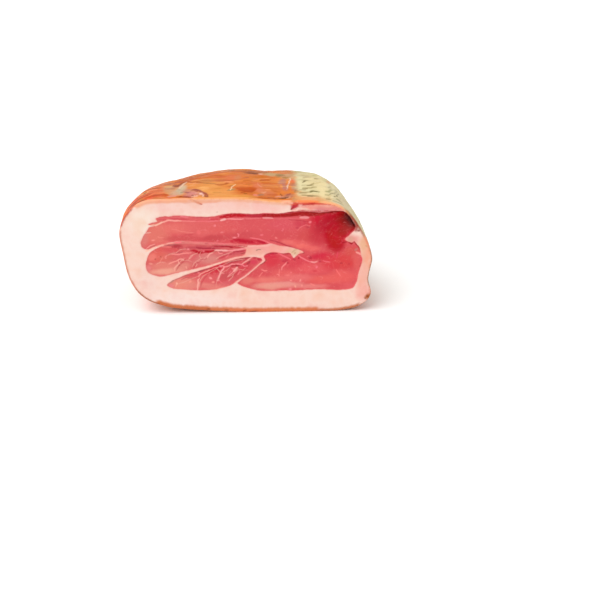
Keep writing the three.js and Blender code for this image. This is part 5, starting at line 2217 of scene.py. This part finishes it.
    def colours(
        self, x: np.ndarray, depth: np.ndarray, height: np.ndarray, solid: np.ndarray, pale: np.ndarray
    ) -> tuple[np.ndarray, np.ndarray]:
        """The colour of the rind before its wrinkles.

        Args:
            x: Across the ham.
            depth: Behind the cut.
            height: Above the table.
            solid: The same places as (x, depth, height) rows.
            pale: How pale the rind is.

        Returns:
            The linear colours, and how strongly the smoke's streaks show.
        """
        everywhere = np.arange(len(x))
        top = smoothstep(height, 78, 96)
        base = np.tile(linear(RIND_BASE), (len(x), 1))
        paint = Paint(np.column_stack([x, depth]), base, Seed.RIND_PAINT, 1.8, 6, 0.7, 4)
        cloudy = layered_noise(solid / (40, 24, 40), Seed.CLOUDS)
        paint.blend("#EC7446", 0.8 * smoothstep(-x + 14 * cloudy, 70, 100), everywhere)
        paint.blend("#D9753A", 0.55 * smoothstep(cloudy, 0.05, 0.5), everywhere)
        paint.blend("#F0A25A", 0.55 * smoothstep(-cloudy, 0.05, 0.5), everywhere)
        paint.blend("#C4703C", 0.7 * (1 - smoothstep(height, 0.5, 14)), everywhere)
        plain = paint.colours.copy()
        paint.lay(RIND_MARKS)
        paint.colours = plain + (paint.colours - plain) * top[:, None]
        # Stains where no marks were placed: their size, their noise, their colour and their share.
        seen = 1 - top * (1 - smoothstep(depth, 60, 110))
        for size, seed, code, share in STAINS:
            spots = smoothstep(layered_noise(solid / size, seed, 4), 0.38, 0.62)
            paint.blend(code, share * spots * seen, everywhere)
        cream = np.tile(linear("#E9DCAC"), (len(x), 1))
        shade = layered_noise(solid / (12, 9, 12), Seed.CREAM)[:, None]
        cream += (linear("#C9BB88") - cream) * smoothstep(shade, 0.05, 0.7)
        warm = (1 - smoothstep(depth, 6, 20)) * (1 - smoothstep(x, 70, 92))
        for code, share in (
            # Painted light: lighter cream on the right shoulder, which the lamp from the left leaves in
            # shade.
            ("#F0E2B6", 0.8 * smoothstep(x, 84, 98) * smoothstep(height, 60, 90)),
            # Painted shade: darker olive where the top turns away towards the back.
            ("#B0A070", 0.6 * smoothstep(depth, 66, 96) * top),
            ("#EBA468", 0.8 * warm),
        ):
            cream += (linear(code) - cream) * share[:, None]
        colours = paint.colours + (cream - paint.colours) * pale[:, None]
        traced = top * (1 - smoothstep(depth, 60, 90))
        return colours, (1 - pale) * (1 - 0.25 * traced) * (1 - smoothstep(depth, 90, 140))

    def streaked(
        self, along: np.ndarray, depth: np.ndarray, height: np.ndarray, pale: np.ndarray, colours: np.ndarray
    ) -> np.ndarray:
        """Draws the smoke's streaks where the marks of the top don't reach, and dark crease lines on the back
        end, which are painted shade with no relief under them.

        Args:
            along: How far round the rim from the start of the pale end.
            depth: Behind the cut.
            height: Above the table.
            pale: How pale the rind is.
            colours: The colours to start from.

        Returns:
            The new colours.
        """
        draw = np.random.default_rng(self.streak_seed)
        paint = Paint(np.column_stack([along, depth]), colours.copy(), Seed.STREAK_PAINT, 2, 7, 0.9, 5)
        low, high = along.min(), along.max()
        for _ in range(self.streak_count):
            start, reach = draw.uniform(low, high), draw.uniform(9, 54)
            row = draw.uniform(2, 150)
            line = tuple(
                (start + reach * share, row + draw.uniform(-1, 1) * (1 + 0.05 * reach))
                for share in (0, 0.35, 0.7, 1)
            )
            colour = self.streak_colours[draw.integers(len(self.streak_colours))]
            width = draw.uniform(0.5, 2.2)
            paint.stroke(Stroke(colour, width, line, draw.uniform(0.2, 0.65)))
        # Dark crease lines on the back end: painted shade.
        for _ in range(self.end_crease_count):
            start, row = draw.uniform(low, high), draw.uniform(120, 172)
            line = ((start, row), (start + draw.uniform(-4, 4), row + draw.uniform(8, 16)))
            paint.stroke(Stroke("#A85C34", draw.uniform(0.8, 2), line, draw.uniform(0.08, 0.3)))
        traced = smoothstep(height, 78, 96) * (1 - smoothstep(depth, 66, 88))
        share = (1 - pale) * (1 - traced)
        return colours + (paint.colours - colours) * share[:, None]

    def wrinkled(
        self,
        along: np.ndarray,
        x: np.ndarray,
        depth: np.ndarray,
        height: np.ndarray,
        pale: np.ndarray,
        colours: np.ndarray,
    ) -> tuple[np.ndarray, np.ndarray]:
        """Sinks the fine wrinkles and darkens them with painted shade.

        Args:
            along: How far round the rim from the start of the pale end.
            x: Across the ham.
            depth: Behind the cut.
            height: Above the table.
            pale: How pale the rind is.
            colours: The colours to start from.

        Returns:
            How far each point sinks, and the new colours.
        """
        sunk = np.zeros(len(along))
        top = smoothstep(height, 76, 90)
        placed = top * (1 - smoothstep(depth, 66, 84)) * smoothstep(x, 44, 50) * (1 - smoothstep(x, 98, 106))
        drawn = Paint(np.column_stack([x, depth]), colours.copy(), Seed.PALE_PAINT, 1.2, 6, 0.5, 4)
        for mark in PALE_MARKS:
            if isinstance(mark, Patch):
                drawn.patch(mark)
                continue
            where, share = drawn.stroke(mark)
            if linear(mark.colour)[0] < 0.5:
                sunk[where] = np.maximum(sunk[where], self.wrinkle_depth * share * top[where])
        colours = colours + (drawn.colours - colours) * top[:, None]
        colours = np.maximum(colours / LIGHT_LEVEL - self.gloss * GLOSS_SHARE, DARKEST)
        near = np.nonzero((along > -8) & (along < self.wrinkles.reach + 12) & (pale > 0.02))[0]
        places = np.column_stack([along, depth])[near]
        places[:, 1] += 0.7 * layered_noise(places / 4, Seed.WRINKLES)
        for valley in self.wrinkles.valleys(self.face.form.length * 0.97):
            line = np.asarray(valley.line)
            low, high = line.min(axis=0) - 3, line.max(axis=0) + 3
            local = np.nonzero(((places > low) & (places < high)).all(axis=1))[0]
            if not len(local):
                continue
            gap, run = line_distance(places[local], valley.line)
            half = valley.half_width * (0.3 + 0.7 * np.sqrt(np.clip(np.minimum(run, 1 - run) / 0.4, 0, 1)))
            share = (1 - smoothstep(gap / half, 0.2, 1.4)) * (pale * (1 - placed))[near[local]]
            sunk[near[local]] = np.maximum(sunk[near[local]], valley.depth * share)
            shade = (valley.strength * share)[:, None]
            colours[near[local]] += (linear(valley.colour) - colours[near[local]]) * shade
        return sunk, colours

    def build(self, fat: bpy.types.Material, rind: bpy.types.Material) -> bpy.types.Object:
        """Builds the coat as one closed piece.

        Args:
            fat: The finish of the cut fat.
            rind: The finish of the skin.

        Returns:
            The piece.
        """
        face = self.face
        mesh = Mesh()
        points, tints, smoked = self.skin()
        rows, columns = points.shape[:2]
        cut_points = face.points_m()
        rim = np.array(face.rings[0])
        fat_colours = face.fat_colours()
        for row in range(2):
            blended = tints[row].copy()
            gaps = np.full(columns, 0.5 * row)
            face.paint_rim(blended, gaps, face.rim_share[rim])
            tints[row] = blended
        points[0] = cut_points[rim]
        fat_colours[rim] = tints[0]
        skin = mesh.add_points(points.reshape(-1, 3), tints.reshape(-1, 3), smoked.ravel())
        skin = skin.reshape(rows, columns)
        for row in range(rows - 1):
            mesh.add_wall(skin[row], skin[row + 1], 1)
        mesh.add_faces([tuple(int(corner) for corner in skin[-1])], 1)
        triangles = np.array(face.triangles[None])
        used = np.setdiff1d(np.unique(triangles), rim)
        number = np.full(len(face.places), -1)
        number[rim] = skin[0]
        number[used] = mesh.add_points(cut_points[used], fat_colours[used])
        mesh.add_faces([tuple(corners) for corners in number[triangles].tolist()], 0)
        for index, muscle in enumerate(self.muscles):
            ring = number[np.array(face.rings[1 + index])]
            mesh.add_room(ring, muscle.ring_rows(), linear(FAT_BASE))
        return mesh.build("fat_coat_and_rind", [fat, rind])


# The studio.


@dataclass(frozen=True)
class Studio:
    """A white floor, soft light from above and a camera that looks a little down on the cut."""

    floor_side_m: float = 14
    floor_colour: str = "#FFFFFF"
    sky_strength: float = 0.74
    sun_strength: float = 2.1
    sun_elevation_deg: float = 51
    sun_left_deg: float = 62
    sun_spread_deg: float = 64
    lens_mm: float = 85
    elevation_deg: float = 20
    distance_m: float = 1.338
    aim_right_m: float = 0.0485
    aim_down_m: float = 0.03972
    cut_middle_height_m: float = 0.0575

    def floor(self) -> None:
        """Lays the floor."""
        half = self.floor_side_m / 2
        mesh = bpy.data.meshes.new("floor")
        corners = [(-half, -half, 0), (half, -half, 0), (half, half, 0), (-half, half, 0)]
        mesh.from_pydata(corners, [], [(0, 1, 2, 3)])
        material = bpy.data.materials.new("white_paper_floor")
        material.use_nodes = True
        shader = material.node_tree.nodes["Principled BSDF"]
        shader.inputs["Base Color"].default_value = (*linear(self.floor_colour), 1)
        shader.inputs["Roughness"].default_value = 0.9
        shader.inputs["Specular IOR Level"].default_value = 0.0
        mesh.materials.append(material)
        floor = bpy.data.objects.new("floor", mesh)
        bpy.context.scene.collection.objects.link(floor)

    def light(self) -> None:
        """Lights the scene: a bright even sky, and one broad soft lamp high up at the front left."""
        world = bpy.data.worlds.new("white_sky")
        world.use_nodes = True
        sky = world.node_tree.nodes["Background"]
        sky.inputs["Color"].default_value = (1, 1, 1, 1)
        sky.inputs["Strength"].default_value = self.sky_strength
        bpy.context.scene.world = world
        sun = bpy.data.lights.new("soft_lamp", "SUN")
        sun.energy = self.sun_strength
        sun.angle = math.radians(self.sun_spread_deg)
        up, left = math.radians(self.sun_elevation_deg), math.radians(self.sun_left_deg)
        towards = Vector((-math.cos(up) * math.sin(left), -math.cos(up) * math.cos(left), math.sin(up)))
        lamp = bpy.data.objects.new("soft_lamp", sun)
        lamp.rotation_euler = towards.to_track_quat("Z", "Y").to_euler()
        bpy.context.scene.collection.objects.link(lamp)

    def camera(self) -> None:
        """Sets the camera up: straight in front of the cut and a little above it."""
        tilt = math.radians(self.elevation_deg)
        middle = Vector((0, FACE_Y_M, self.cut_middle_height_m))
        back = Vector((0, -math.cos(tilt), math.sin(tilt)))
        right = Vector((1, 0, 0))
        up = back.cross(right)
        eye = middle + back * self.distance_m
        target = middle + right * self.aim_right_m - up * self.aim_down_m
        lens = bpy.data.cameras.new("camera")
        lens.lens = self.lens_mm
        lens.sensor_width = 36
        camera = bpy.data.objects.new("camera", lens)
        camera.location = eye
        camera.rotation_euler = (target - eye).to_track_quat("-Z", "Y").to_euler()
        bpy.context.scene.collection.objects.link(camera)
        bpy.context.scene.camera = camera

    def build(self) -> None:
        """Sets the whole studio up."""
        self.floor()
        self.light()
        self.camera()
        bpy.context.scene.view_settings.view_transform = "Standard"


def report(piece: bpy.types.Object) -> None:
    """Logs the size of a piece."""
    corners = np.array([tuple(vertex.co) for vertex in piece.data.vertices])
    size = (corners.max(axis=0) - corners.min(axis=0)) / MM
    triangles = sum(len(face.vertices) - 2 for face in piece.data.polygons)
    LOG.info("%s: %.1f x %.1f x %.1f mm, %d triangles", piece.name, *size, triangles)


def main() -> None:
    """Builds the ham, its finishes and the studio."""
    logging.basicConfig(level=logging.INFO, format="%(message)s")
    Studio().build()
    lean_finish = CuredLean().material()
    face = CutFace(HamForm())
    muscles = [Muscle(lean, face) for lean in Lean]
    for muscle in muscles:
        piece = muscle.build(lean_finish)
        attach(piece, "root")
        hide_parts(muscle.lean.value)
        report(piece)
    coat = Coat(face, muscles).build(CuredFat().material(), SmokedRind().material())
    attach(coat, "root")
    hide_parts("fat_with_rind")
    report(coat)


if __name__ == "__main__":
    main()
